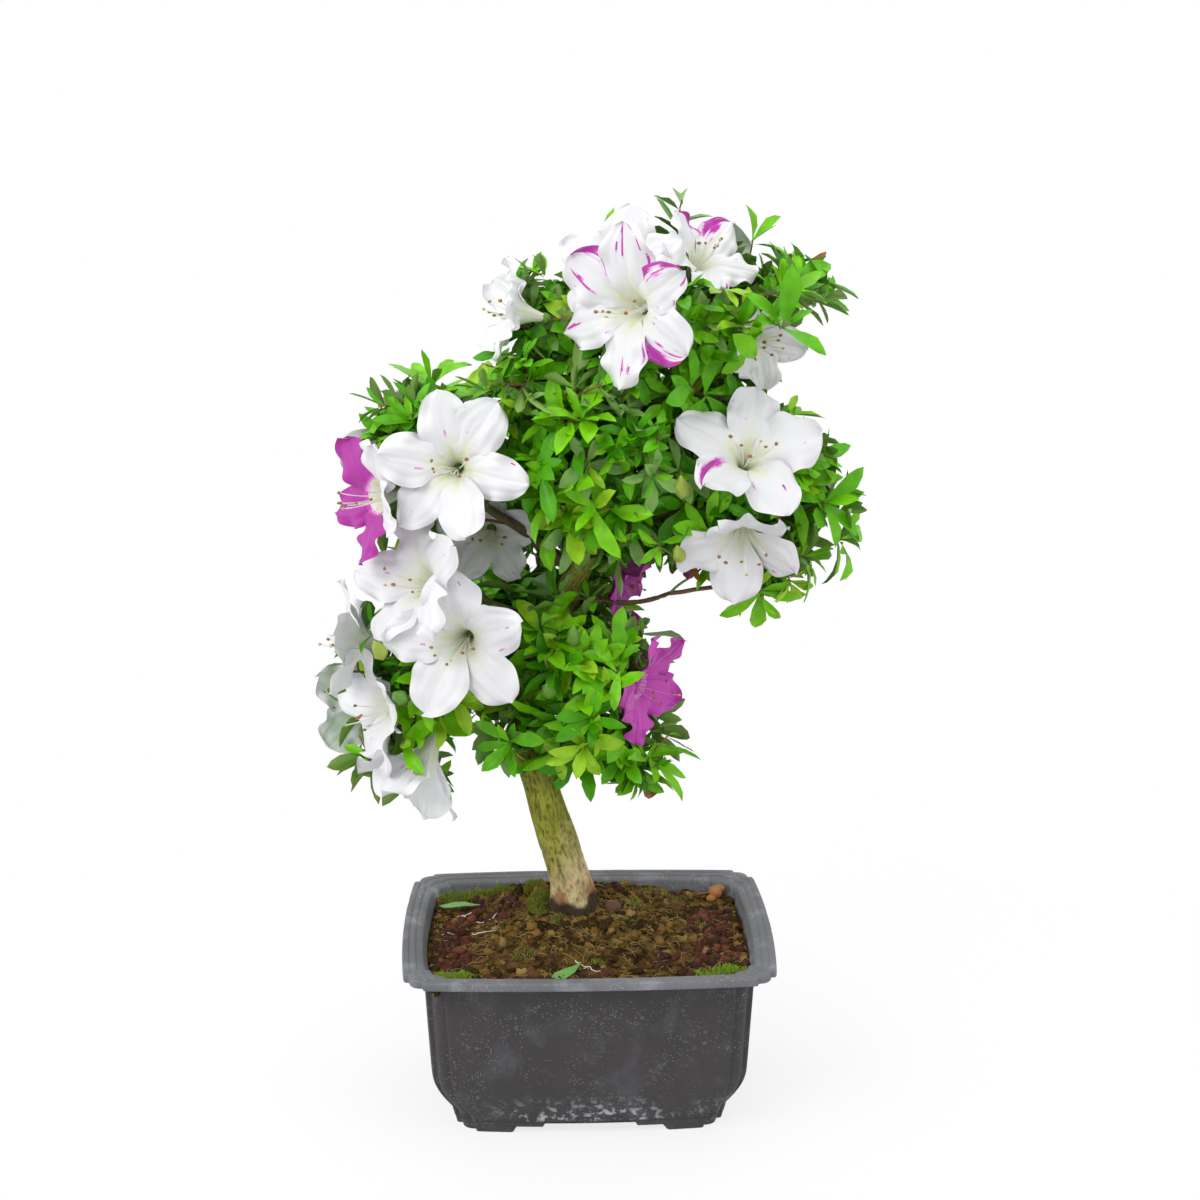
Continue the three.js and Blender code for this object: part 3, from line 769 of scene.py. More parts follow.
# a patch of moss is its middle and spread as shares of the soil's box, its strands, their height in mm
# and its tint
mossPatches = [
    ((0.09, 0.10), (0.09, 0.055), 1150, 3.6, 0), ((0.90, 0.12), (0.10, 0.06), 1250, 4.4, 0),
    ((0.05, 0.93), (0.05, 0.06), 620, 6.0, 1), ((0.14, 0.93), (0.05, 0.05), 480, 6.0, 1),
    ((0.23, 0.93), (0.05, 0.06), 480, 6.5, 1),
    ((0.335, 0.90), (0.03, 0.07), 620, 7.5, 1), ((0.35, 0.70), (0.032, 0.13), 800, 6.5, 1),
    ((0.40, 0.52), (0.04, 0.05), 240, 3.4, 2), ((0.66, 0.72), (0.03, 0.03), 200, 3.6, 1),
    ((0.74, 0.9), (0.12, 0.05), 330, 3.2, 2), ((0.52, 0.2), (0.03, 0.02), 120, 3.0, 1),
    ((0.3, 0.3), (0.05, 0.03), 150, 2.6, 2), ((0.62, 0.55), (0.06, 0.04), 160, 2.6, 2),
    ((0.85, 0.62), (0.04, 0.04), 110, 2.8, 1), ((0.55, 0.97), (0.2, 0.03), 240, 3.2, 2),
]


mossShape = {
    "fall": 0.75, "edge": 0.25,                       # how much lower a cushion's edge is, the least share
    "outwards": 0.5, "stray": 0.35,                   # lean away from the middle, and at random
    "own": [0.8, 0.1, 0.1],                           # shares of a patch's own tint, green and olive
    "radii": (0.34 * mm, 0.3 * mm, 0.1 * mm),         # at a strand's foot, middle and top
}


# cushions of short pointed strands: height = the patch's height * (1 - fall * share of its radius
# squared), leaning outwards
def makeMoss(rng):
    tints = plainSet([("mossBright", (0.24, 0.42, 0.018), 0.8, 0.35),
                      ("mossGreen", (0.27, 0.33, 0.035), 0.85, 0.4),
                      ("mossOlive", (0.20, 0.20, 0.04), 0.85, 0.4)], scale=400.0)
    feet, tops, tint = [], [], []
    for at, spread, count, height, shade in mossPatches:
        places = onSoil(rng, count, at, spread, sink=0.5 * mm)
        middle = soilLow[:2] + (soilHigh - soilLow)[:2] * np.array(at)
        size = (soilHigh - soilLow)[:2] * np.array(spread)
        out = (places[:, :2] - middle) / size
        dome = np.clip(1 - mossShape["fall"] * (out ** 2).sum(1, keepdims=True), mossShape["edge"], 1)
        aside = out * mossShape["outwards"] + rng.normal(0, mossShape["stray"], out.shape)
        lean = np.concatenate([aside, np.ones((len(out), 1))], 1)
        tall = height * mm * dome * rng.uniform(0.6, 1.15, dome.shape)
        feet.append(places)
        tops.append(places + unit(lean) * tall)
        tint.append(rng.choice([shade, 1, 2], len(places), p=mossShape["own"]))
    feet, tops, tint = np.concatenate(feet), np.concatenate(tops), np.concatenate(tint)
    middle = (feet + tops) / 2 + rng.normal(0, 0.3 * mm, feet.shape)
    lines = np.stack([feet, middle, tops], 1)
    radii = np.broadcast_to(np.array(mossShape["radii"]), lines.shape[:2])
    points, quads, caps = tubes(lines, radii, 3, np.array([1.0, 0.0, 0.0]))
    addPiece("soil_moss", points, [quads, caps], tints, faceTints(tint, quads, caps))


soilRng = np.random.default_rng(soilShape["seed"])
makeSoil([soilMaterial()])
makeCrumbs(soilRng)
makeThreads(soilRng)
makePebbles(soilRng)
makeMoss(soilRng)
print("pot and soil made")


barkShape = {
    "rows": 420, "sides": 150, "sink": 5 * mm,      # rings, corners in a ring, how deep the foot stands
    "ridge": 0.65 * mm, "ridgesRound": 50, "ridgeLength": 4.2 * mm,
    "lobes": 5, "lobeDepth": 0.10, "lobeHeight": 16 * mm,               # root flare
    "lumpDepth": 0.10, "lumpLength": 26 * mm,
    "boughRows": 64, "boughSides": 22,
    "boughRidge": 0.5 * mm, "boughRidgesRound": 9, "boughRidgeLength": 4 * mm,
}


# bark relief in 0..1: two layers of long ridges, bent by a slow wave, and fine grain; the ridges are
# one minus twice the size of a noise, so that they meet in narrow furrows
def barkRelief(turn, run, seed, ridgesRound, ridgeLength):
    bend = noise(turn * 9, run / (14 * mm), seed, wrapX=9) * 0.9
    wide = noise(turn * ridgesRound + bend, run / ridgeLength + bend, seed + 1, wrapX=ridgesRound)
    fineRound, dustRound = int(ridgesRound * 1.7), ridgesRound * 3
    slim = noise(turn * fineRound - bend, run / (ridgeLength * 0.55), seed + 2, wrapX=fineRound)
    dust = noise(turn * dustRound, run / (1.3 * mm), seed + 3, wrapX=dustRound)
    return np.clip(0.5 + 0.34 * (1 - 2 * np.abs(wide)) + 0.22 * (1 - 2 * np.abs(slim)) + 0.08 * dust, 0, 1)


# the trunk's skin: rings along its line, wider at the root lobes, with lumps and bark relief
def makeTrunk(material):
    foot = trunkPoints[0] + (trunkPoints[0] - trunkPoints[1]) * 0.6
    foot[2] = soilHigh[2] - barkShape["sink"]
    foot[3] = trunkPoints[0, 3] * 1.05
    path = blurLine(evenly(np.concatenate([[foot], trunkPoints]), barkShape["rows"]), 7.0)
    line, radius = path[:, :3], path[:, 3:4]
    run = np.arange(len(line))[:, None] * np.linalg.norm(line[1] - line[0])
    sides = barkShape["sides"]
    turn = np.linspace(0, 1, sides, endpoint=False)[None]
    lift = line[:, 2:3] - soilHigh[2]
    full = 2 * np.pi
    lobe = np.cos(full * (barkShape["lobes"] * turn + 0.12)) + 0.5 * np.cos(full * (3 * turn + 0.4))
    flare = barkShape["lobeDepth"] * lobe * np.exp(-np.maximum(lift, 0) / barkShape["lobeHeight"])
    lump = noise(turn * 4, run / barkShape["lumpLength"], 51, wrapX=4) * barkShape["lumpDepth"]
    relief = barkRelief(turn, run, 61, barkShape["ridgesRound"], barkShape["ridgeLength"])
    depth = barkShape["ridge"] * np.clip(radius / (9 * mm), 0.3, 1)
    radius = radius * (1 + flare + lump) + (relief - 0.62) * depth
    skin = ringsAlong(line, radius, sides, np.array([1.0, 0, 0]))
    ends = np.stack([line[0], line[-1] + (line[-1] - line[-2]) * 2])
    marks = {"relief": np.concatenate([relief.ravel(), [0.5, 0.5]])}
    piece = addPiece("trunk_bark", np.concatenate([skin.reshape(-1, 3), ends]),
                     skinFaces(len(line), sides), [material], marks=marks)
    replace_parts(piece, "trunk")
    return path


# boughs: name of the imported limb, the axis it mostly follows, and whether it runs down that axis
boughPlan = [
    ("bough_low_left", 0, True), ("bough_mid_left", 0, True), ("bough_left", 0, True),
    ("bough_right_low", 0, False), ("bough_right", 0, False), ("bough_upper_left", 0, True),
    ("bough_back_low", 1, False), ("bough_back_high", 1, False),
]


# each bough starts inside the trunk, a little below where it leaves, and swells at its collar
def boughLines(trunkPath):
    lines = {}
    for name, axis, downAxis in boughPlan:
        line = limbLine(name, axis, 16, 1.0)
        line = line[::-1] if downAxis else line
        start = line[0, :3] - unit(line[2, :3] - line[0, :3]) * 6 * mm
        inside = trunkPath[np.argmin(np.linalg.norm(trunkPath[:, :3] - start, axis=1)), :3]
        foot = np.array([*mix(inside, start, 0.35), line[0, 3] * 1.25])
        collar = np.array([*mix(foot[:3], line[0, :3], 0.5), line[0, 3] * 1.3])
        lines[name] = blurLine(evenly(np.concatenate([[foot, collar], line]), barkShape["boughRows"]), 2.0)
    return lines


# the boughs' skins, joined into one piece: rings with poles, rounder and smoother than the trunk
def makeBoughs(lines, material):
    sides, rows = barkShape["boughSides"], barkShape["boughRows"]
    turn = np.linspace(0, 1, sides, endpoint=False)[None]
    skins, ends, reliefs = [], [], []
    for k, line in enumerate(lines.values()):
        run = np.arange(rows)[:, None] * np.linalg.norm(line[1, :3] - line[0, :3])
        relief = barkRelief(turn, run, 80 + k, barkShape["boughRidgesRound"], barkShape["boughRidgeLength"])
        swell = 1 + 0.07 * noise(run / (9 * mm), 0 * run, 90 + k)
        radius = line[:, 3:4] * swell + (relief - 0.6) * barkShape["boughRidge"]
        skins.append(ringsAlong(line[:, :3], radius, sides, up).reshape(-1, 3))
        ends.append(np.stack([line[0, :3], line[-1, :3] * 2 - line[-2, :3]]))
        reliefs.append(np.concatenate([relief.ravel(), [0.5, 0.5]]))
    points = np.concatenate([np.concatenate(pair) for pair in zip(skins, ends)])
    faceSets = [copyFaces(faces, len(lines), rows * sides + 2) for faces in skinFaces(rows, sides)]
    marks = {"relief": np.concatenate(reliefs)}
    piece = addPiece("bough_bark", points, faceSets, [material], marks=marks)
    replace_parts(piece, *lines)


# bark that is mossy green above and worn tan below, darker in the furrows (partly the bark's own colour,
# partly painted shade), with a rusty patch above a dark soil-stained foot
def trunkMaterial():
    bark = newMaterial("barkTrunk", (0.2, 0.17, 0.08), 0.85, Specular_IOR_Level=0.25)
    material, tree, shader, place = bark
    relief = addNode(tree, "ShaderNodeAttribute", attribute_name="relief").outputs["Fac"]
    # ridges light and furrows dark: partly the bark's own colour, partly painted shade in the furrows
    ridge = ramp(tree, relief, 0.12, 0.85)
    green = layColour(tree, (0.070, 0.080, 0.006), (0.42, 0.43, 0.06), ridge)
    tan = layColour(tree, (0.24, 0.17, 0.06), (0.76, 0.61, 0.33), ridge)
    ground = float(soilHigh[2])
    z = axisOf(tree, place, "Z")
    wobble = valueMath(tree, "SUBTRACT", noiseMask(tree, place, 60.0, 4.0), 0.5)
    # the green starts lower on the side towards -X, along a ragged line
    ragged = valueMath(tree, "ADD", z, times(tree, wobble, 60 * mm))
    slant = times(tree, valueMath(tree, "ADD", axisOf(tree, place, "X"), -float(heapMiddle[0])), -1.2)
    moss = ramp(tree, valueMath(tree, "ADD", ragged, slant), ground + 22 * mm, ground + 62 * mm)
    tone = layColour(tree, tan, green, moss)
    shade = cloudMask(tree, place, 110.0, 0.4, 0.7)
    tone = layColour(tree, tone, (0.10, 0.085, 0.03), times(tree, shade, 0.35))
    rust = times(tree, heightMask(tree, place, ground + 23 * mm, ground + 15 * mm),
                 cloudMask(tree, place, 75.0, 0.45, 0.56))
    tone = layColour(tree, tone, (0.36, 0.15, 0.07), times(tree, rust, 0.75))
    damp = valueMath(tree, "ADD", z, times(tree, wobble, 26 * mm))
    stain = ramp(tree, damp, ground + 10.5 * mm, ground + 7 * mm)
    tone = layColour(tree, tone, (0.035, 0.025, 0.013), times(tree, stain, 0.95))
    linkLooks(tree, shader, place, tone, 1500.0, 0.3 * mm, 0.6)
    return material


# brown bark, paler on its ridges and darker in its furrows (partly its own colour, partly painted shade),
# with greenish lichen in patches
def boughMaterial():
    material, tree, shader, place = newMaterial("barkBough", (0.12, 0.085, 0.045), 0.85)
    relief = addNode(tree, "ShaderNodeAttribute", attribute_name="relief").outputs["Fac"]
    # furrows darker than ridges: partly the bark's own colour, partly painted shade
    brown = layColour(tree, (0.03, 0.022, 0.012), (0.17, 0.11, 0.06), relief)
    lichen = cloudMask(tree, place, 90.0, 0.45, 0.65)
    tone = layColour(tree, brown, (0.12, 0.14, 0.04), times(tree, lichen, 0.6))
    linkLooks(tree, shader, place, tone, 1500.0, 0.3 * mm, 0.6)
    return material


trunkPath = makeTrunk(trunkMaterial())
boughPaths = boughLines(trunkPath)
makeBoughs(boughPaths, boughMaterial())
print("trunk and boughs made")


crownShape = {
    "seed": 5, "spacing": 15 * mm,            # gap between neighbouring sprays of the shell
    "depth": (3 * mm, 17 * mm),               # how far a shell spray sits under the mass's surface
    "wild": 0.13, "above": 7 * mm,            # share of sprays that stand out of it, and how far at most
    "innerDepth": 30 * mm, "innerSpacing": 21 * mm, "innerShare": 0.45,
    "gaps": 0.30, "gapSize": 21 * mm,         # noise above which the crown stays open, and its scale
    "crowded": -4 * mm, "crowdedShare": 0.4,  # nearness of another mass, and the share of sprays left there
    "beyond": 13 * mm,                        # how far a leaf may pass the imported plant's box
    "stride": 7 * mm, "reach": 0.45,          # gap between nodes, and how long a twig keeps its parent's way
    "twig": 0.46 * mm, "thicken": 0.43,       # radius of a tip, and the power of the tips beyond it
    "firstFork": 75 * mm,                     # height above the soil below which no twig leaves the trunk
    "stout": 1.1 * mm, "slender": 0.62 * mm,  # radii from which a twig has more sides, and is brown
    "sprayGap": (5 * mm, 60 * mm), "leafGap": (4 * mm, 50 * mm),   # kept clear behind and before a bloom
    "limbGap": 1 * mm, "lowest": 20 * mm,     # between leaves and limbs, and from the soil to the leaves
}
massNames = sorted(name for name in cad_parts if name.startswith("mass_"))
massTrees = {}
for massName in massNames:
    massPoints, massTriangles = solidArrays(massName)
    massTrees[massName] = BVHTree.FromPolygons(massPoints.tolist(), massTriangles.tolist())


# even directions over a ball: equal steps in height, golden-angle steps round it
def ballDirections(count):
    k = np.arange(count) + 0.5
    height = 1 - 2 * k / count
    angle = k * np.pi * (3 - np.sqrt(5))
    ring = np.sqrt(1 - height ** 2)
    return np.stack([ring * np.cos(angle), ring * np.sin(angle), height], -1)


# how deep a point lies in a mass, below 0 outside it
def depthIn(name, point):
    nearest, normal, _, distance = massTrees[name].find_nearest(Vector(point))
    return distance if (Vector(point) - nearest).dot(normal) < 0 else -distance


# where sprays sit: rays from outside each mass find its surface, and each spray lies a little way
# under it; those facing another mass are thinned out; gives places, outward ways and shell marks
def sprayPlaces(rng):
    places, outs, shell = [], [], []
    for name in massNames:
        low, high = (np.array(corner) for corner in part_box(name))
        middle, half = (low + high) / 2, (high - low) / 2
        a, b, c = half
        p = 1.6                                # the area of an ellipsoid by a mean of its sides' products
        area = 4 * np.pi * (((a * b) ** p + (a * c) ** p + (b * c) ** p) / 3) ** (1 / p)
        layers = ((True, 1.0, crownShape["spacing"]),
                  (False, crownShape["innerShare"], crownShape["innerSpacing"]))
        for onShell, share, spacing in layers:
            for ray in ballDirections(int(area * share / spacing ** 2)):
                way = unit(unit(ray) * half + rng.normal(0, 0.05, 3) * half)
                hit, normal, _, _ = massTrees[name].ray_cast(Vector(middle + way * 0.3), Vector(-way))
                if hit is None:
                    continue
                out = unit(np.array(normal))
                depth = rng.uniform(*crownShape["depth"]) if onShell else crownShape["innerDepth"]
                if onShell and rng.uniform() < crownShape["wild"]:
                    depth = -rng.uniform(0, crownShape["above"])
                depth = min(depth, 0.8 * np.linalg.norm(np.array(hit) - middle))
                spot = np.array(hit) - out * depth + rng.normal(0, 1.5 * mm, 3)
                above = np.array(hit) + out * 6 * mm
                crowd = max(depthIn(other, above) for other in massNames if other != name)
                across, along = np.array([hit[0] + hit[1], hit[2] - hit[1]]) / crownShape["gapSize"]
                hollow = layeredNoise(across, along, 71, 2)
                crowded = crowd > crownShape["crowded"]
                if (crowded and rng.uniform() > crownShape["crowdedShare"]) or hollow > crownShape["gaps"]:
                    continue
                places.append(spot)
                outs.append(out)
                shell.append(onShell and not crowded)
    return np.array(places), np.array(outs), np.array(shell)


# branches grow from the limbs: the tips are taken from the nearest to the furthest, and each is
# joined to the node that costs least, its distance raised where the twig would have to turn back;
# a twig leaves along its parent's way and bends over to its own tip, on a curve with one bend point;
# gives the twigs' lines, the twig and node that each grows from, and the order they grew in
def growBranches(tips, rng):
    seeds = [trunkPath[trunkPath[:, 2] > soilHigh[2] + crownShape["firstFork"]][::8, :3]]
    seeds += [path[20::4, :3] for path in boughPaths.values()]
    nodes = np.concatenate(seeds)
    heads = np.concatenate([unit(np.gradient(seed, axis=0)) for seed in seeds])
    used = len(nodes)
    space = np.zeros((used + len(tips) * 24, 3))
    spaceHeads = np.zeros_like(space)
    spaceOwner = np.full(len(space), -1)
    spaceIndex = np.zeros(len(space), int)
    space[:used], spaceHeads[:used] = nodes, heads
    order = np.argsort(np.linalg.norm(tips[:, None] - nodes[None], axis=2).min(1))
    paths, parents = [None] * len(tips), np.full((len(tips), 2), -1)
    for k in order:
        gap = tips[k] - space[:used]
        distance = np.linalg.norm(gap, axis=1)
        turn = (gap * spaceHeads[:used]).sum(1) / np.maximum(distance, 1e-6)
        cost = distance * (1.35 - 0.45 * turn) + np.where(distance < 5 * mm, 0.02, 0)
        j = int(np.argmin(cost))
        span = distance[j]
        start = space[j]
        way = unit(0.9 * spaceHeads[j] + 1.1 * gap[j] / max(span, 1e-6) + 0.15 * up)
        bend = start + way * span * crownShape["reach"]
        steps = max(int(span / crownShape["stride"]) + 2, 4)
        t = np.linspace(0, 1, steps)[:, None]
        line = start * (1 - t) ** 2 + 2 * bend * t * (1 - t) + tips[k] * t ** 2
        wiggle = np.cross(unit(gap[j]), rng.normal(0, 1, 3)) * span * 0.05 * np.sin(np.pi * t)
        line = line + wiggle + rng.normal(0, 0.35 * mm, line.shape) * (t > 0) * (t < 1)
        paths[k], parents[k] = line, (spaceOwner[j], spaceIndex[j])
        fresh = slice(used, used + steps - 1)
        space[fresh] = line[1:]
        spaceHeads[fresh] = unit(np.gradient(line, axis=0))[1:]
        spaceOwner[fresh] = k
        spaceIndex[fresh] = np.arange(1, steps)
        used += steps - 1
    return paths, parents, order


# radius of each twig by the tips it carries: twig * tips ** thicken
def branchRadii(paths, parents, order):
    loads = [np.ones(len(path)) for path in paths]
    for k in order[::-1]:
        owner, at = parents[k]
        if owner >= 0:
            loads[owner][:at + 1] += loads[k][0]
    return [crownShape["twig"] * load ** crownShape["thicken"] for load in loads]


# twigs and thicker branches, each with its own even number of rings, joined into one piece; greenTips
# marks the stalks of blooms and buds
def makeBranches(paths, radii, greenTips, materials):
    groups = {False: ([], [], []), True: ([], [], [])}
    for k, (path, radius) in enumerate(zip(paths, radii)):
        thick = radius[0] > crownShape["stout"] or len(path) > 9
        even = evenly(np.column_stack([path, radius]), 16 if thick else 8)
        groups[thick][0].append(even[:, :3])
        groups[thick][1].append(even[:, 3])
        groups[thick][2].append(2 if greenTips[k] else int(radius[0] < crownShape["slender"]))
    points, faceSets, slots, used = [], [], [], 0
    for thick, (lines, widths, tints) in groups.items():
        corners, quads, caps = tubes(np.array(lines), np.array(widths), 8 if thick else 5, up + 0.01)
        for faces in (quads, caps):
            faceSets.append(faces + used)
            slots.append(faceTints(tints, faces))
        points.append(corners.reshape(-1, 3))
        used += corners.shape[0] * corners.shape[1]
    addPiece("twigs", np.concatenate(points), faceSets, materials, np.concatenate(slots))


leafShape = {
    "along": (0, 0.15, 0.40, 0.66, 0.87, 1), "across": (-1, -0.5, 0, 0.5, 1),
    "widest": 0.61, "groove": 0.3 * mm,
    "length": (19 * mm, 31 * mm), "narrow": (0.28, 0.44),   # longest leaf of a spray; width by length
    "rosette": (5, 8), "shoot": (2, 4),                     # leaves round a tip, and along the shoot
    "goldenAngle": 2.39996,
}


# leaf blades as grids: the midrib bends over from `axis` away from `face` on an arc of `droop`, the
# half width is sin(pi v ** p), and the blade folds up along its midrib and waves at its edges
def leafBlades(base, axis, face, length, width, droop, fold, rng):
    v = np.array(leafShape["along"], float)[None, :, None]
    u = np.array(leafShape["across"], float)[None, None, :]
    power = math.log(0.5) / math.log(leafShape["widest"])
    outline = np.sin(np.pi * v ** power) ** 0.85
    outline = np.maximum(outline, np.where(v < 0.5, 0.10, 0.015))
    axis = unit(axis)
    face = unit(face - axis * (axis * face).sum(-1, keepdims=True))
    side = np.cross(axis, face)
    L, W = length[:, None, None], width[:, None, None] / 2
    k = np.where(np.abs(droop) < 0.02, 0.02, droop)[:, None, None]
    forward, down = L * np.sin(k * v) / k, -L * (1 - np.cos(k * v)) / k
    half = W * outline
    across = u * half * np.cos(fold)[:, None, None]
    phase = rng.uniform(0, 2 * np.pi, (len(base), 1, 1))
    lift = np.abs(u) * half * np.sin(fold)[:, None, None] + 0.10 * W * u ** 2 * np.sin(9 * v + phase)
    lift = lift - leafShape["groove"] * (u == 0) * np.sin(np.pi * v)
    skew = 0.06 * L * np.sin(np.pi * v) * rng.uniform(-1, 1, (len(base), 1, 1))
    base, axis, face, side = (a[:, None, None] for a in (base, axis, face, side))
    normal = np.cos(k * v)[..., None] * face + np.sin(k * v)[..., None] * axis
    return (base + forward[..., None] * axis + down[..., None] * face
            + (across + skew)[..., None] * side + lift[..., None] * normal)


# sprays: a rosette of leaves at golden angles round each tip, older leaves opening wider, and a few
# more along the shoot; gives base, axis, face, share of the length, spray and rank of each leaf
def sprayLeaves(tips, ways, shoots, shell, rng):
    bases, axes, faces, lengths, spray, ranks = [], [], [], [], [], []
    for k in range(len(tips)):
        count = rng.integers(*leafShape["rosette"], endpoint=True) - (0 if shell[k] else 2)
        along = rng.integers(*leafShape["shoot"], endpoint=True)
        way = ways[k]
        side = unit(np.cross(way, up + 0.1 * rng.normal(0, 1, 3)))
        other = np.cross(way, side)
        total = count + along
        j = np.arange(total)
        angle = j * leafShape["goldenAngle"] + rng.uniform(0, 2 * np.pi)
        opened = np.radians(np.where(j < count, 22 + 58 * (j / count) ** 0.8, rng.uniform(45, 80, total)))
        opened = opened + rng.normal(0, 0.12, total)
        out = np.cos(angle)[:, None] * side + np.sin(angle)[:, None] * other
        axis = np.cos(opened)[:, None] * way + np.sin(opened)[:, None] * out
        back = np.where(j < count, (j / count) * 3 * mm, 0)
        base = tips[k] - way * back[:, None]
        line = shoots[k]
        at = rng.integers(max(len(line) - 5, 1), len(line), along)
        base[count:] = line[at] + rng.normal(0, 0.5 * mm, (along, 3))
        size = rng.uniform(0.82, 1.1) * np.where(j < count, 0.62 + 0.38 * np.minimum(j / 3, 1), 0.8)
        bases.append(base)
        axes.append(axis + 0.10 * up)
        faces.append(way - axis * (axis @ way)[:, None] + 0.25 * up)
        lengths.append(size * rng.uniform(0.85, 1.12, total))
        spray.append(np.full(total, k))
        ranks.append(j)
    return tuple(np.concatenate(part) for part in (bases, axes, faces, lengths, spray, ranks))


bloomShape = {
    "rows": 40, "cols": 27, "seed": 12,
    "tube": 17 * mm, "lobe": 35 * mm, "halfWidth": 15.6 * mm,   # funnel, free part and half width of a petal
    "base": 1.8 * mm, "funnel": 13, "curl": 10,                 # radius at the base, slopes of funnel and tip
    "ruffle": 2.7 * mm, "overlap": 1.4 * mm, "groove": 1.2 * mm,
    "filament": 0.33 * mm, "anther": 1.15 * mm, "threads": 6,   # threads count the style too
    "behind": 3 * mm,                                           # how far a stalk's end lies behind the foot
}
# where each bloom's throat is, as shares of a mass's box; the way it looks as azimuth and elevation;
# its size, its colouring, how far its petals open in degrees, and how many they are
blooms = [
    ("mass_apex", (0.275, 0.03, 0.60), (-122, 8), 1.04, "flecked", 78, 6),
    ("mass_apex", (0.265, 0.43, 0.705), (-114, 38), 0.90, "white", 66, 5),
    ("mass_apex", (0.50, 0.48, 0.75), (-52, 46), 0.72, "sector", 66, 5),
    ("mass_upper_left", (0.52, 0.16, 0.62), (-168, 14), 0.74, "white", 58, 5),
    ("mass_left", (0.70, 0.20, 0.63), (-98, 14), 1.0, "white", 76, 6),
    ("mass_left", (0.26, 0.40, 0.43), (-146, 0), 0.90, "half", 70, 5),
    ("mass_left", (0.52, 0.25, -0.05), (-140, 18), 1.0, "white", 70, 5),
    ("mass_low_left", (0.69, 0.14, 0.50), (-106, 4), 1.0, "white", 80, 5),
    ("mass_low_left", (-0.03, 0.50, 0.38), (178, 8), 0.85, "white", 64, 5),
    ("mass_low_left_tip", (0.60, 0.31, 0.62), (-160, -8), 0.98, "white", 64, 5),
    ("mass_low_left_tip", (0.86, 0.22, 0.40), (-145, -58), 1.0, "white", 44, 5),
    ("mass_right", (0.38, 0.07, 0.77), (-84, 38), 0.98, "stripe", 78, 5),
    ("mass_right", (0.37, 0.16, 0.37), (-94, -34), 0.90, "white", 58, 5),
    ("mass_right_low", (-0.20, 0.95, 0.78), (-25, -28), 0.62, "magenta", 60, 5),
    ("mass_low_middle", (0.82, 0.40, 0.55), (-28, -6), 0.84, "magenta", 72, 5),
    ("mass_apex", (0.70, 0.58, 0.38), (-52, -8), 0.70, "white", 66, 5),
    ("mass_left", (0.89, 0.80, 0.12), (-95, 0), 0.78, "white", 62, 5),
    ("mass_back_high", (0.30, 0.74, 0.60), (112, 16), 0.96, "flecked", 76, 5),
    ("mass_back_high", (0.80, 0.62, 0.40), (58, 4), 0.92, "white", 76, 5),
    ("mass_back_low", (0.35, 0.73, 0.55), (104, -2), 0.96, "white", 76, 5),
    ("mass_back_low", (0.86, 0.66, 0.30), (48, -16), 0.80, "magenta", 70, 5),
    ("mass_apex", (0.55, 0.86, 0.60), (74, 30), 0.93, "sector", 74, 5),
    ("mass_left", (0.42, 0.90, 0.55), (125, 12), 0.92, "white", 74, 5),
    ("mass_right", (0.62, 0.88, 0.45), (62, 2), 0.90, "stripe", 74, 5),
    ("mass_low_left_tip", (0.35, 0.92, 0.50), (135, -10), 0.85, "white", 70, 5),
]
# the same for each bud, with its tint: 0 lime, 1 green, 2 purple
buds = [
    ("mass_middle", (0.74, 0.10, 0.42), (-100, 50), 1.0, 0),
    ("mass_right", (-0.06, 0.04, 0.29), (-105, 50), 0.8, 0),
    ("mass_low_middle", (0.50, 0.06, 0.92), (-90, 65), 0.8, 1),
    ("mass_low_middle", (0.38, 0.03, 0.62), (-100, 40), 0.9, 1),
    ("mass_low_middle", (0.20, 0.12, 0.95), (-110, 60), 0.7, 1),
    ("mass_low_left", (0.10, 0.10, 0.45), (-110, 50), 0.9, 0),
    ("mass_low_left", (0.24, 0.08, 0.17), (-110, 30), 0.9, 1),
    ("mass_right_low", (0.48, 0.20, 1.0), (-85, 60), 0.75, 2),
    ("mass_back_high", (0.55, 1.0, 0.5), (90, 50), 0.9, 0),
    ("mass_back_low", (0.60, 1.0, 0.6), (80, 50), 0.8, 1),
]


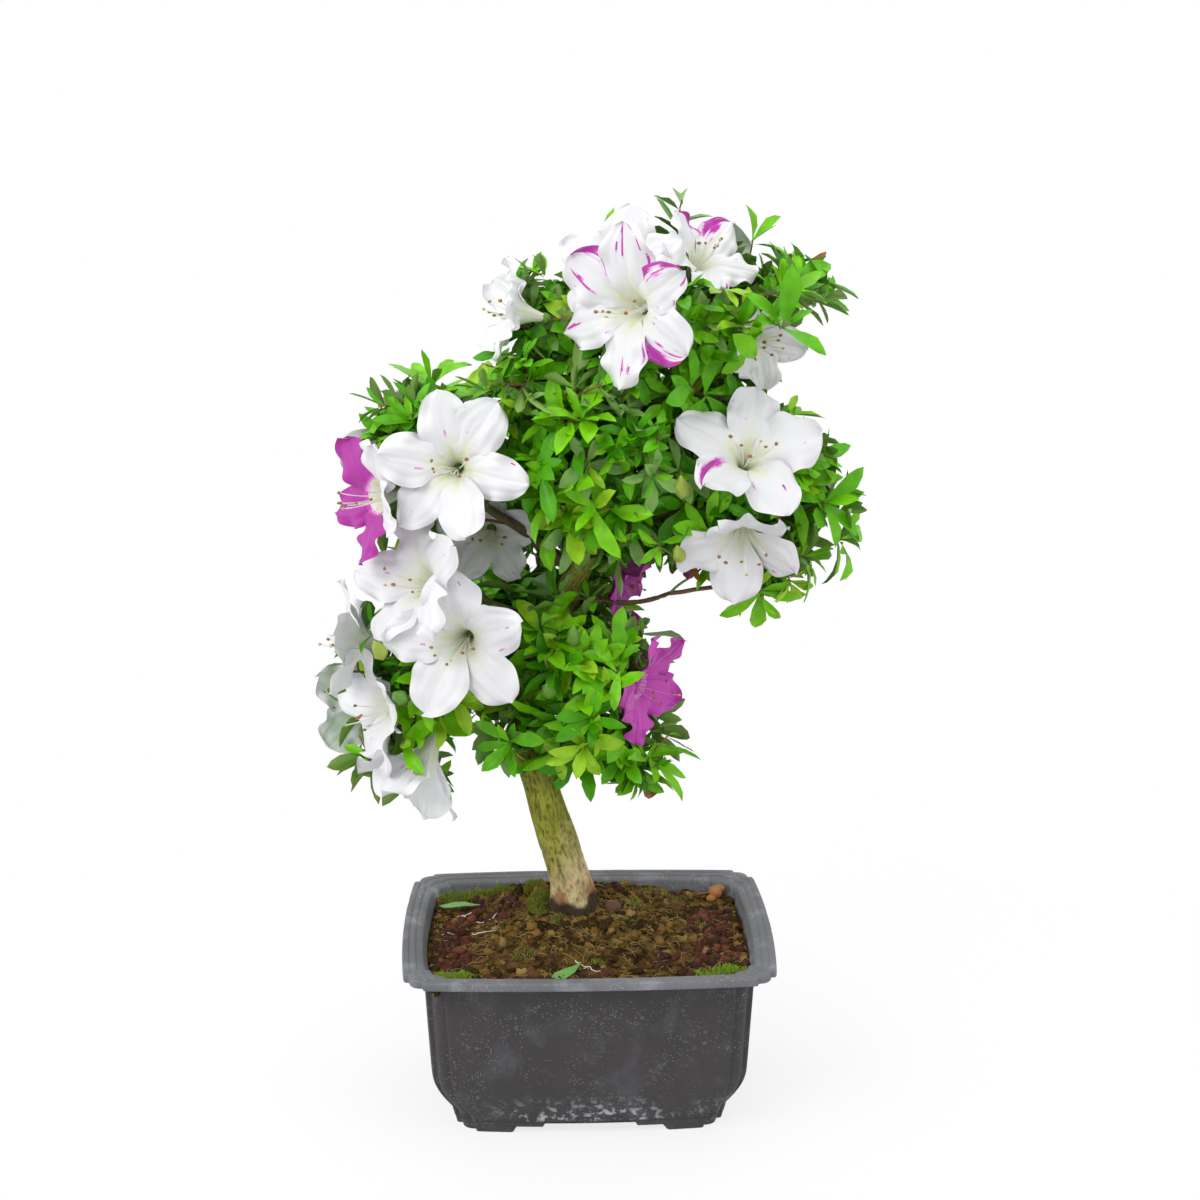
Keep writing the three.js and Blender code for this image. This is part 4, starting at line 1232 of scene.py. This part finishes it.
# petals of one bloom in its own frame, +Z out of the throat: the midrib's slope grows from the funnel
# to the open lobe and its radius and height are the sums of its sine and cosine; the width follows the
# funnel's round, then swells and closes in a blunt point; the edges ruffle and the lobes overlap
def bloomPetals(count, size, opened, rng):
    rows, cols, tube, lobe = (bloomShape[key] for key in ("rows", "cols", "tube", "lobe"))
    tube, lobe = tube * size, lobe * size * rng.uniform(0.93, 1.06, (count, 1))
    run = np.linspace(0, 1, rows)[None] * (tube + lobe)
    tau = np.clip((run - tube) / lobe, 0, 1)
    bend = ease((run - 0.2 * tube) / (0.8 * tube + 0.62 * lobe))
    spread = np.radians(rng.normal(opened, 6, (count, 1)))
    curl = np.radians(rng.normal(bloomShape["curl"] * opened / 70, 10, (count, 1)))
    slope = mix(np.radians(bloomShape["funnel"]), spread, bend) + curl * tau ** 1.5
    pace = (tube + lobe) / (rows - 1)
    radius = bloomShape["base"] + np.cumsum(np.sin(slope), 1) * pace
    height = np.cumsum(np.cos(slope), 1) * pace
    close = np.clip((tau - 0.45) / 0.55, 0, 1)
    point = rng.uniform(1.7, 2.6, (count, 1))
    fall = np.maximum((1 - close ** point) ** rng.uniform(0.48, 0.62, (count, 1)), 0.02)
    widest = bloomShape["halfWidth"] * size * rng.uniform(0.86, 1.08, (count, 1)) * mix(1, 5 / count, 0.6)
    half = mix(1.2 * np.pi / count * radius, widest, ease(tau / 0.5) ** 0.75) * fall
    u = np.linspace(-1, 1, cols)[None, None]
    radius, height, half, slope, tau, run = (a[..., None] for a in (radius, height, half, slope, tau, run))
    turn = u * np.minimum(half / radius, 1.3 * np.pi / count)
    free = ease((run - 0.7 * tube) / (0.6 * lobe[..., None]))
    x = mix(radius * np.cos(turn), radius, free)
    y = mix(radius * np.sin(turn), u * half, free)
    phase = rng.uniform(0, 2 * np.pi, (3, count, 1, 1))
    waves = rng.uniform(1.5, 2.6, (count, 1, 1))
    edge = np.sin(2 * np.pi * waves * tau + np.where(u > 0, phase[0], phase[1]))
    lift = bloomShape["ruffle"] * size * np.abs(u) ** 2.4 * edge * rng.uniform(0.5, 1.3, (count, 1, 1))
    lift = lift + 1.6 * mm * tau ** 1.5 * np.sin(3 * u + phase[2]) - 0.09 * half * u ** 2
    midrib = np.exp(-(u / 0.1) ** 2) * np.sin(np.pi * tau) ** 0.5
    lift = lift + bloomShape["overlap"] * u - bloomShape["groove"] * midrib
    crinkle = np.cos(5 * np.pi * u + 0.6 * np.sin(9 * tau)) * np.sin(np.pi * tau)
    lift = (lift + 0.3 * mm * crinkle) * free
    x, z = x - lift * np.cos(slope), height + lift * np.sin(slope)
    angle = (2 * np.pi * (np.arange(count) / count) + rng.normal(0, 0.07, count))[:, None, None]
    points = np.stack([x * np.cos(angle) - y * np.sin(angle), x * np.sin(angle) + y * np.cos(angle), z], -1)
    return points, tau[..., 0], u[0, 0], radius[..., 0].mean(0), height[..., 0].mean(0)


# how magenta each face of a petal is, 0..1, from streaks that run along it; the kinds are white with
# a few flecks, flecked, a sector at one edge, a stripe, half of the petals, and all of them
def petalShade(kind, count, tau, u, rng):
    tauMid = (tau[:, 1:, None] + tau[:, :-1, None]) / 2
    uMid = ((u[1:] + u[:-1]) / 2)[None, None]
    offset = rng.uniform(0, 90, (count, 1, 1))
    streak = noise(uMid * 12 + offset, tauMid * 3.5 + offset, 7)
    broad = noise(uMid * 2.5 + offset, tauMid * 2 + offset, 9)
    outer = ease((tauMid - 0.12) / 0.3)
    flecks = np.clip((streak - {"white": 0.86, "flecked": 0.66}.get(kind, 0.8)) * 7, 0, 0.75) * outer
    chosen = np.zeros((count, 1, 1))
    side = rng.choice([-1, 1], (count, 1, 1))
    wedge = ease((side * uMid - 0.30 + 0.35 * streak + 0.2 * broad) / 0.3)
    wedge = wedge * ease((tauMid - 0.28 + 0.2 * broad) / 0.2)
    if kind in ("flecked", "sector"):
        chosen[rng.permutation(count)[:3 if kind == "flecked" else 2]] = 1
        wedge = wedge if kind == "sector" else wedge * ease((side * uMid - 0.5 + 0.3 * streak) / 0.25)
    if kind == "stripe":
        chosen[rng.integers(count)] = 1
        wedge = ease((0.2 - np.abs(uMid - 0.5 * side) + 0.15 * streak) / 0.15) * outer
    if kind == "half":
        chosen[:(count + 1) // 2] = 1
        wedge = ease((0.9 + streak * 0.5) / 0.4) * ease(tauMid / 0.2)
    shade = np.maximum(flecks, chosen * wedge)
    if kind == "magenta":
        shade = 0.90 + 0.12 * broad + 0.10 * streak - 0.4 * ease((0.15 - tauMid) / 0.15)
    return np.clip(shade, 0, 1), tauMid


# slots of the petals: 0 white, 1 blush, 2 pink, 3 magenta, 4 deep magenta, 5 ivory, 6 cream, 7 pale
# green throat; the throat's tints reach furthest along the midrib
def petalSlots(kind, shade, tau, u, rng):
    steps = np.digitize(shade, [0.16, 0.42, 0.68, 0.97])
    if kind == "magenta":
        return np.where(np.broadcast_to(tau, shade.shape) <= 0.0, 3, steps)
    uMid = ((u[1:] + u[:-1]) / 2)[None, None]
    reach = tau - 0.22 * np.exp(-(uMid / 0.35) ** 2) + rng.uniform(-0.015, 0.015, shade.shape)
    slots = np.where((shade < 0.16) & (reach < 0.16), 5, steps)
    slots = np.where((shade < 0.5) & (reach < 0.0), 6, slots)
    return np.where(reach < -0.12, 7, slots)


# a bloom from its row of the table: its foot, stalk's end and ways, its petals' corners and tints,
# and its middle section as radii and heights
def growBloom(massName, shares, look, size, kind, opened, petals, rng):
    out = facing(*look)
    side = unit(np.cross(up, out))
    over = np.cross(out, side)
    spin = rng.uniform(0, 2 * np.pi)
    turned = np.stack([np.cos(spin) * side + np.sin(spin) * over,
                       -np.sin(spin) * side + np.cos(spin) * over, out])
    shape, tau, u, radii, heights = bloomPetals(petals, size, opened, rng)
    shade, tauMid = petalShade(kind, petals, tau, u, rng)
    foot = within(massName, shares) - out * bloomShape["tube"] * size
    return {
        "foot": foot, "stalk": foot - out * bloomShape["behind"],
        "out": out, "over": over, "side": side, "size": size,
        "points": foot + shape @ turned, "slots": petalSlots(kind, shade, tauMid, u, rng),
        "radii": radii, "heights": heights, "magenta": kind == "magenta",
    }


bloomRng = np.random.default_rng(bloomShape["seed"])
grownBlooms = [growBloom(*row, bloomRng) for row in blooms]


# true where a point stands in front of a bloom's petals, or so near behind that it would cut them
def beforeBloom(points, bloom, behind, ahead):
    gap = points - bloom["foot"]
    axial = gap @ bloom["out"]
    lateral = np.linalg.norm(gap - axial[..., None] * bloom["out"], axis=-1)
    surface = np.interp(lateral, bloom["radii"], bloom["heights"])
    reach = bloom["radii"].max()
    return (lateral < reach + 1 * mm) & (axial > surface - behind) & (axial < surface + ahead)


# petals in two pieces, by which way their blooms look
def makeBlooms(materials):
    rows, cols = bloomShape["rows"], bloomShape["cols"]
    faces = gridFaces(rows, cols)[:, ::-1]
    for name, front in (("blossom_front", True), ("blossom_back", False)):
        chosen = [bloom for bloom in grownBlooms if (bloom["out"][1] < 0.2) == front]
        points = np.concatenate([bloom["points"].reshape(-1, 3) for bloom in chosen])
        slots = np.concatenate([bloom["slots"].ravel() for bloom in chosen])
        petals = len(points) // (rows * cols)
        addPiece(name, points, [copyFaces(faces, petals, rows * cols)], materials, slots)


# stamens: five threads that rise out of the throat and fan outwards, each with an anther, and one
# longer style with a green stigma; the fan lies on the lower side and curves up again
def makeStamens(materials, rng):
    lines, radii, tips, tipSizes, tipTints, tints = [], [], [], [], [], []
    t = np.linspace(0, 1, 9)[:, None]
    count, start = bloomShape["threads"], 4 * mm
    for bloom in grownBlooms:
        fan = np.linspace(-1.25, 1.25, count) + rng.normal(0, 0.15, count)
        for k in range(count):
            style = k == count // 2
            reach = (9 if style else rng.uniform(7, 15)) * mm * bloom["size"]
            rise = (45 if style else rng.uniform(32, 40)) * mm * bloom["size"]
            away = np.sin(fan[k]) * bloom["side"] - np.cos(fan[k]) * bloom["over"]
            line = (bloom["foot"] + bloom["out"] * (start + t * (rise - start))
                    + away * (0.6 * mm + reach * t ** 1.4) + bloom["over"] * 5 * mm * t ** 3)
            lines.append(line)
            radii.append(bloomShape["filament"] * np.linspace(1.1, 0.8, 9) * (1.25 if style else 1))
            tints.append(2 if bloom["magenta"] else 0)
            tips.append(line[-1])
            tipSizes.append(bloomShape["anther"] * (0.85 if style else 1))
            tipTints.append(4 if style else 3)
    points, quads, caps = tubes(np.array(lines), np.array(radii), 5, np.array([0.3, 0.2, 1.0]))
    knobs, knobQuads, knobCaps = lumps(np.array(tips), np.array(tipSizes), rng, rows=4, uneven=0.06)
    shift = points.shape[0] * points.shape[1]
    slots = np.concatenate([faceTints(tints, quads, caps), faceTints(tipTints, knobQuads, knobCaps)])
    addPiece("stamens", np.concatenate([points.reshape(-1, 3), knobs.reshape(-1, 3)]),
             [quads, caps, knobQuads + shift, knobCaps + shift], materials, slots)


# buds and calyxes: lathed forms whose radius is sin(pi t ** p), closed to points at both ends
def lathed(feet, outs, lengths, widths, power, twist, rng):
    rows, cols = 9, 10
    t = np.linspace(0, 1, rows + 2)[1:-1, None]
    turn = np.linspace(0, 2 * np.pi, cols, endpoint=False)[None]
    points = []
    for foot, out, length, width in zip(feet, outs, lengths, widths):
        side = unit(np.cross(out, up + 0.01))
        over = np.cross(out, side)
        angle = turn + twist * t + rng.uniform(0, 6)
        radius = (width * np.sin(np.pi * t ** power) * (1 + 0.10 * np.cos(5 * turn)))[..., None]
        ring = (foot + out * (t * length)[..., None] + radius * np.cos(angle)[..., None] * side
                + radius * np.sin(angle)[..., None] * over)
        points.append(np.concatenate([ring.reshape(-1, 3), [foot, foot + out * length]]))
    quads, caps = (copyFaces(faces, len(feet), rows * cols + 2) for faces in skinFaces(rows, cols))
    return np.array(points), quads, caps


budOuts = np.array([facing(*look) for _, _, look, _, _ in buds])
budSizes = np.array([size for *_, size, _ in buds])
budFeet = np.array([within(name, shares) for name, shares, *_ in buds]) - budOuts * 8 * mm * budSizes[:, None]


# buds, and a green calyx round the foot of each bloom
def makeBuds(materials, rng):
    count = len(grownBlooms)
    feet = np.concatenate([budFeet, [bloom["stalk"] for bloom in grownBlooms]])
    outs = np.concatenate([budOuts, [bloom["out"] for bloom in grownBlooms]])
    lengths = np.concatenate([budSizes * 19 * mm, np.full(count, 9 * mm)])
    widths = np.concatenate([budSizes * 4.2 * mm, np.full(count, 2.7 * mm)])
    tints = [tint for *_, tint in buds] + [1] * count
    points, quads, caps = lathed(feet, outs, lengths, widths, 0.72, 1.0, rng)
    addPiece("buds", points, [quads, caps], materials, faceTints(tints, quads, caps))


# a petal: its colour with slightly darker patches, and a fine crinkle
def petalMaterial(name, colour):
    material, tree, shader, place = newMaterial(name, colour, 0.55, Sheen_Weight=0.15)
    tone = layColour(tree, scaled(colour, 0.93), colour, cloudMask(tree, place, 60.0, 0.3, 0.7))
    linkLooks(tree, shader, place, tone, 700.0, 0.35 * mm, 0.35)
    return material


# a leaf: its own green above, a greyer and paler one below, slightly uneven and glossy
def leafMaterial(name, colour, under=(0.22, 0.38, 0.08)):
    material, tree, shader, place = newMaterial(name, colour, 0.34, Specular_IOR_Level=0.26)
    cloud = cloudMask(tree, place, 130.0, 0.3, 0.7)
    tone = layColour(tree, scaled(colour, 0.78), scaled(colour, 1.18), cloud)
    below = addNode(tree, "ShaderNodeNewGeometry").outputs["Backfacing"]
    linkLooks(tree, shader, place, layColour(tree, tone, under, below), 800.0, 0.3 * mm, 0.3)
    return material


petalColours = [
    ("petalWhite", (0.86, 0.86, 0.885)), ("petalBlush", (0.80, 0.62, 0.78)),
    ("petalPink", (0.78, 0.32, 0.70)), ("petalMagenta", (0.62, 0.055, 0.50)),
    ("petalDeep", (0.45, 0.02, 0.36)), ("petalIvory", (0.85, 0.86, 0.82)),
    ("petalCream", (0.84, 0.865, 0.73)), ("petalThroat", (0.77, 0.82, 0.56)),
]
# name, colour, roughness and wander: filaments white and pink with the style between, then the knobs
stamenTints = [
    ("filamentWhite", (0.86, 0.85, 0.76), 0.5, 0.18), ("styleGreen", (0.62, 0.72, 0.32), 0.5, 0.18),
    ("filamentPink", (0.72, 0.25, 0.6), 0.5, 0.18), ("antherBrown", (0.34, 0.16, 0.045), 0.7, 0.18),
    ("stigmaGreen", (0.45, 0.52, 0.12), 0.5, 0.18),
]
budColours = [
    ("budLime", (0.42, 0.52, 0.09)), ("budGreen", (0.16, 0.36, 0.05)), ("budPurple", (0.17, 0.03, 0.09)),
]
makeBlooms([petalMaterial(*row) for row in petalColours])
makeStamens(plainSet(stamenTints), bloomRng)
makeBuds([leafMaterial(name, colour, colour) for name, colour in budColours], bloomRng)
print("blooms made")


# extra sprays where masses meet or a lone shoot stands out: mass, middle as shares of its box, how far
# they scatter along each axis in mm, and how many
crownFills = [
    ("mass_middle", (0.12, 0.35, 0.98), (10, 12, 9), 10),
    ("mass_upper_left", (0.9, 0.5, 0.25), (9, 12, 9), 8),
    ("mass_middle", (0.45, 0.3, 1.0), (14, 12, 6), 7), ("mass_apex", (0.90, 0.45, 0.42), (4, 8, 5), 3),
    ("mass_apex", (0.80, 0.35, 0.62), (4, 8, 6), 3), ("mass_low_middle", (0.80, 0.4, 0.02), (4, 8, 3), 3),
    ("mass_right_low", (0.9, 0.4, 0.5), (6, 8, 5), 3), ("mass_left", (0.35, 0.4, 0.95), (8, 10, 4), 3),
]
# leaves that lie on the soil: foot as shares of the soil's box, where each points, length in mm
fallenLeaves = [((0.16, 0.755), 172, 24), ((0.475, 0.20), 228, 27)]
# slender leaves that stand out alone: mass, foot as shares of its box, where each points, length in mm
loneLeaves = [
    ("mass_apex", (0.86, 0.35, 0.58), (-8, 2), 36), ("mass_apex", (0.88, 0.3, 0.48), (-20, -4), 24),
    ("mass_apex", (0.70, 0.3, 0.74), (-30, 50), 20), ("mass_left", (0.30, 0.3, 0.95), (-150, 35), 22),
    ("mass_left", (0.36, 0.4, 0.96), (-120, 60), 22), ("mass_low_left", (0.06, 0.2, 0.98), (178, 6), 24),
    ("mass_low_middle", (0.88, 0.4, 0.18), (-12, -4), 30),
    ("mass_low_middle", (0.85, 0.4, 0.05), (-30, -20), 22),
    ("mass_right", (0.93, 0.4, 0.55), (-20, 5), 24),
]


# places, outward ways and shell marks of all sprays: those of the masses and the extra ones, without
# those that would stand in front of a bloom
def allSprays(rng):
    places, outs, shell = sprayPlaces(rng)
    for name, middle, reach, count in crownFills:
        spots = within(name, middle) + rng.normal(0, 1, (count, 3)) * np.array(reach) * mm
        ways = unit(rng.normal(0, 1, spots.shape) - (0, 0.5, 0))
        places, outs = np.concatenate([places, spots]), np.concatenate([outs, ways])
        shell = np.concatenate([shell, np.ones(count, bool)])
    clear = np.ones(len(places), bool)
    for bloom in grownBlooms:
        clear &= ~beforeBloom(places, bloom, *crownShape["sprayGap"])
    return places[clear], outs[clear], shell[clear]


# twigs to every spray, bloom and bud; gives the lines of those that end in sprays
def makeTwigs(places, rng):
    tips = np.concatenate([places, [bloom["stalk"] for bloom in grownBlooms], budFeet])
    paths, parents, order = growBranches(tips, rng)
    greenTips = np.arange(len(tips)) >= len(places)
    materials = plainSet([("twigBrown", (0.18, 0.10, 0.055), 0.8, 0.35),
                          ("twigRed", (0.27, 0.12, 0.055), 0.75, 0.3),
                          ("stalkGreen", (0.16, 0.26, 0.06), 0.6, 0.2)])
    makeBranches(paths, branchRadii(paths, parents, order), greenTips, materials)
    return paths[:len(places)]


# every leaf as the arrays that leafBlades takes, then its spray and its rank there; the lone leaves
# come last and borrow the tints of the first sprays
def growLeaves(places, outs, shell, shoots, rng):
    ends = np.array([unit(path[-1] - path[-2]) for path in shoots])
    ways = unit(0.9 * outs + 0.45 * ends + 0.45 * up + rng.normal(0, 0.18, outs.shape))
    bases, axes, faces, sizes, spray, ranks = sprayLeaves(places, ways, shoots, shell, rng)
    length = sizes * rng.uniform(*leafShape["length"], len(places))[spray]
    width = length * rng.uniform(*leafShape["narrow"], len(length))
    droop = rng.normal(0.45, 0.28, len(length))
    fold = np.abs(rng.normal(0.32, 0.16, len(length)))
    lone = len(loneLeaves)
    loneLength = np.array([long for *_, long in loneLeaves]) * mm
    grown = bases, axes, faces, length, width, droop, fold, spray, ranks
    added = ([within(name, shares) for name, shares, _, _ in loneLeaves],
             [facing(*look) for _, _, look, _ in loneLeaves], np.tile(up, (lone, 1)),
             loneLength, loneLength * 0.2, np.full(lone, 0.35), np.full(lone, 0.4),
             rng.integers(0, 9, lone), np.zeros(lone, int))
    return [np.concatenate(pair) for pair in zip(grown, added)]


# true for blades clear of the blooms, the limbs and the soil, and no further than `beyond` outside the
# packed plant's box
def clearBlades(blades):
    keep = np.ones(len(blades), bool)
    for bloom in grownBlooms:
        keep &= ~beforeBloom(blades, bloom, *crownShape["leafGap"]).any(axis=(1, 2))
    for limb in [trunkPath] + list(boughPaths.values()):
        near = np.linalg.norm(blades[:, 3, 2][:, None] - limb[None, ::6, :3], axis=2)
        keep &= (near > limb[None, ::6, 3] + crownShape["limbGap"]).all(1)
    keep &= blades[..., 2].min(axis=(1, 2)) > soilHigh[2] + crownShape["lowest"]
    low, high = np.array(cadLow) - crownShape["beyond"], np.array(cadHigh) + crownShape["beyond"]
    return keep & ((blades > low) & (blades < high)).all((1, 2, 3))


# tints go by spray: sprays outside are lighter and yellower, inner ones darker, partly the leaves' own
# tones and partly painted light and shade across the crown; some of a spray's youngest leaves are a step
# yellower, a few leaves are dried, and the older leaves of some sprays are grey
def leafTints(shell, spray, ranks, rng):
    sprays, leaves = len(shell), len(spray)
    # outer sprays draw lighter greens and inner ones only the darker: painted light and shade across the
    # crown, partly the leaves' own tones
    outer = rng.choice([0, 1, 2, 3], sprays, p=[0.10, 0.38, 0.35, 0.17])
    inner = rng.choice([2, 3, 4], sprays, p=[0.5, 0.35, 0.15])
    tint = np.where(shell, outer, inner)[spray]
    tint = np.where((ranks < 2) & (rng.uniform(size=leaves) < 0.35), np.maximum(tint - 1, 0), tint)
    tint = np.where(rng.uniform(size=leaves) < 0.004, 5, tint)
    return np.where((rng.uniform(size=sprays) < 0.07)[spray] & (ranks >= 2), 6, tint)


# the faces of many leaf blades whose corners follow each other
def bladeFaces(count):
    rows, cols = len(leafShape["along"]), len(leafShape["across"])
    return copyFaces(gridFaces(rows, cols), count, rows * cols)


# the deepest green goes only to sprays inside the crown: painted shade
leafColours = [
    ("leafYoung", (0.34, 0.64, 0.02)), ("leafBright", (0.20, 0.60, 0.006)), ("leafMid", (0.125, 0.48, 0.005)),
    ("leafDark", (0.08, 0.37, 0.005)), ("leafDeepWithPaintedShade", (0.055, 0.27, 0.005)), ("leafDried", (0.32, 0.14, 0.03)),
    ("leafGrey", (0.22, 0.43, 0.10)),
]


# the living leaves in two pieces, split at their middle height
def makeLeaves(places, outs, shell, shoots, rng):
    *leaves, spray, ranks = growLeaves(places, outs, shell, shoots, rng)
    blades = leafBlades(*leaves, rng)
    keep = clearBlades(blades)
    blades, tint = blades[keep], leafTints(shell, spray, ranks, rng)[keep]
    materials = [leafMaterial(*row) for row in leafColours]
    upper = blades[:, 3, 2, 2] > np.median(blades[:, 3, 2, 2])
    for name, chosen in (("leaves_upper", upper), ("leaves_lower", ~upper)):
        faces = bladeFaces(int(chosen.sum()))
        addPiece(name, blades[chosen], [faces], materials, faceTints(tint[chosen], faces))
    print(len(places), "sprays", len(blades), "leaves")


# leaves that lie on the soil, folded down a little at their edges
def makeFallen(rng):
    feet = np.array([within("soil", (*spot, 0.5)) for spot, _, _ in fallenLeaves])
    feet[:, 2] = soilHeight(feet[:, 0], feet[:, 1]) + 2.2 * mm
    aims = np.array([facing(turn, 3) for _, turn, _ in fallenLeaves])
    length = np.array([long for *_, long in fallenLeaves]) * mm
    count = len(feet)
    blades = leafBlades(feet, aims, np.tile(up, (count, 1)), length, length * 0.34,
                        np.full(count, 0.25), np.full(count, -0.12), rng)
    material = leafMaterial("leafFallen", (0.17, 0.40, 0.10))
    addPiece("leaves_fallen", blades, [bladeFaces(count)], [material])


crownRng = np.random.default_rng(crownShape["seed"])
sprays = allSprays(crownRng)
shoots = makeTwigs(sprays[0], crownRng)
makeLeaves(*sprays, shoots, crownRng)
makeFallen(crownRng)
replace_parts(bpy.data.objects["leaves_upper"], *massNames)


studio = {
    "lens": 66.66, "sensor": 36.0,
    "eye": (-0.0311, -1.133, 0.602), "turn": -1.93, "pitch": 15.7,
    "floor": (0.93, 0.93, 0.935), "floorHalf": 6.0,       # colour, and half the side
    "fade": (0.12, 0.42), "shown": 0.22,                  # where the floor fades out, its share before that
    "room": (0.72, 1.0), "aim": (0.0, 0.0, 0.28),         # the room's light on the plant and as seen
    # name, place, size and power of each light
    "lights": [
        ("softboxLeft", (-1.3, -1.2, 1.7), 1.1, 17.0), ("softboxSide", (-1.7, -0.1, 0.8), 1.0, 6.0),
        ("softboxRight", (1.4, -0.9, 1.3), 1.2, 6.0), ("softboxTop", (0.1, 0.4, 2.0), 1.4, 9.0),
    ],
}


# the eye stands in front of the pot, its place counted from the middle of the pot's foot
def makeCamera():
    camera = bpy.data.objects.new("camera", bpy.data.cameras.new("camera"))
    camera.data.lens = studio["lens"]
    camera.data.sensor_width = studio["sensor"]
    camera.data.clip_start = 0.05
    camera.location = Vector(studio["eye"]) + Vector((potMiddle[0], potMiddle[1], 0.0))
    camera.rotation_euler = (math.radians(90.0 - studio["pitch"]), 0.0, math.radians(studio["turn"]))
    bpy.context.scene.collection.objects.link(camera)
    bpy.context.scene.camera = camera


# a pale floor that only tints the white room a little, so that a faint shadow shows near the pot
def makeFloor():
    mesh = bpy.data.meshes.new("floor")
    half = studio["floorHalf"]
    corners = [(-half, -half, 0), (half, -half, 0), (half, half, 0), (-half, half, 0)]
    mesh.from_pydata(corners, [], [(0, 1, 2, 3)])
    floor = bpy.data.objects.new("floor", mesh)
    material, tree, shader, place = newMaterial("floorPaint", studio["floor"], 0.85)
    cloud = cloudMask(tree, place, 3.0, 0.3, 0.7)
    tone = layColour(tree, (0.92, 0.92, 0.925), (0.95, 0.95, 0.95), cloud)
    tree.links.new(tone, shader.inputs["Base Color"])
    away = addNode(tree, "ShaderNodeVectorMath", {"Vector": place}, operation="LENGTH").outputs["Value"]
    tree.links.new(ramp(tree, away, *studio["fade"], studio["shown"], 0.0), shader.inputs["Alpha"])
    mesh.materials.append(material)
    bpy.context.scene.collection.objects.link(floor)


# a square softbox that looks at the plant
def addLight(name, place, size, power):
    light = bpy.data.lights.new(name, "AREA")
    light.shape = "SQUARE"
    light.size = size
    light.energy = power
    lamp = bpy.data.objects.new(name, light)
    lamp.location = place
    lamp.rotation_euler = (Vector(studio["aim"]) - Vector(place)).to_track_quat("-Z", "Y").to_euler()
    bpy.context.scene.collection.objects.link(lamp)


# a white room, dimmer as a light than as it is seen, and the softboxes
def makeLight():
    world = bpy.data.worlds.new("room")
    world.use_nodes = True
    tree = world.node_tree
    background = tree.nodes["Background"]
    background.inputs["Color"].default_value = (1.0, 1.0, 1.0, 1.0)
    seen = addNode(tree, "ShaderNodeLightPath").outputs["Is Camera Ray"]
    tree.links.new(ramp(tree, seen, 0.0, 1.0, *studio["room"]), background.inputs["Strength"])
    bpy.context.scene.world = world
    bpy.context.scene.view_settings.view_transform = "Standard"
    for row in studio["lights"]:
        addLight(*row)


makeFloor()
makeLight()
makeCamera()
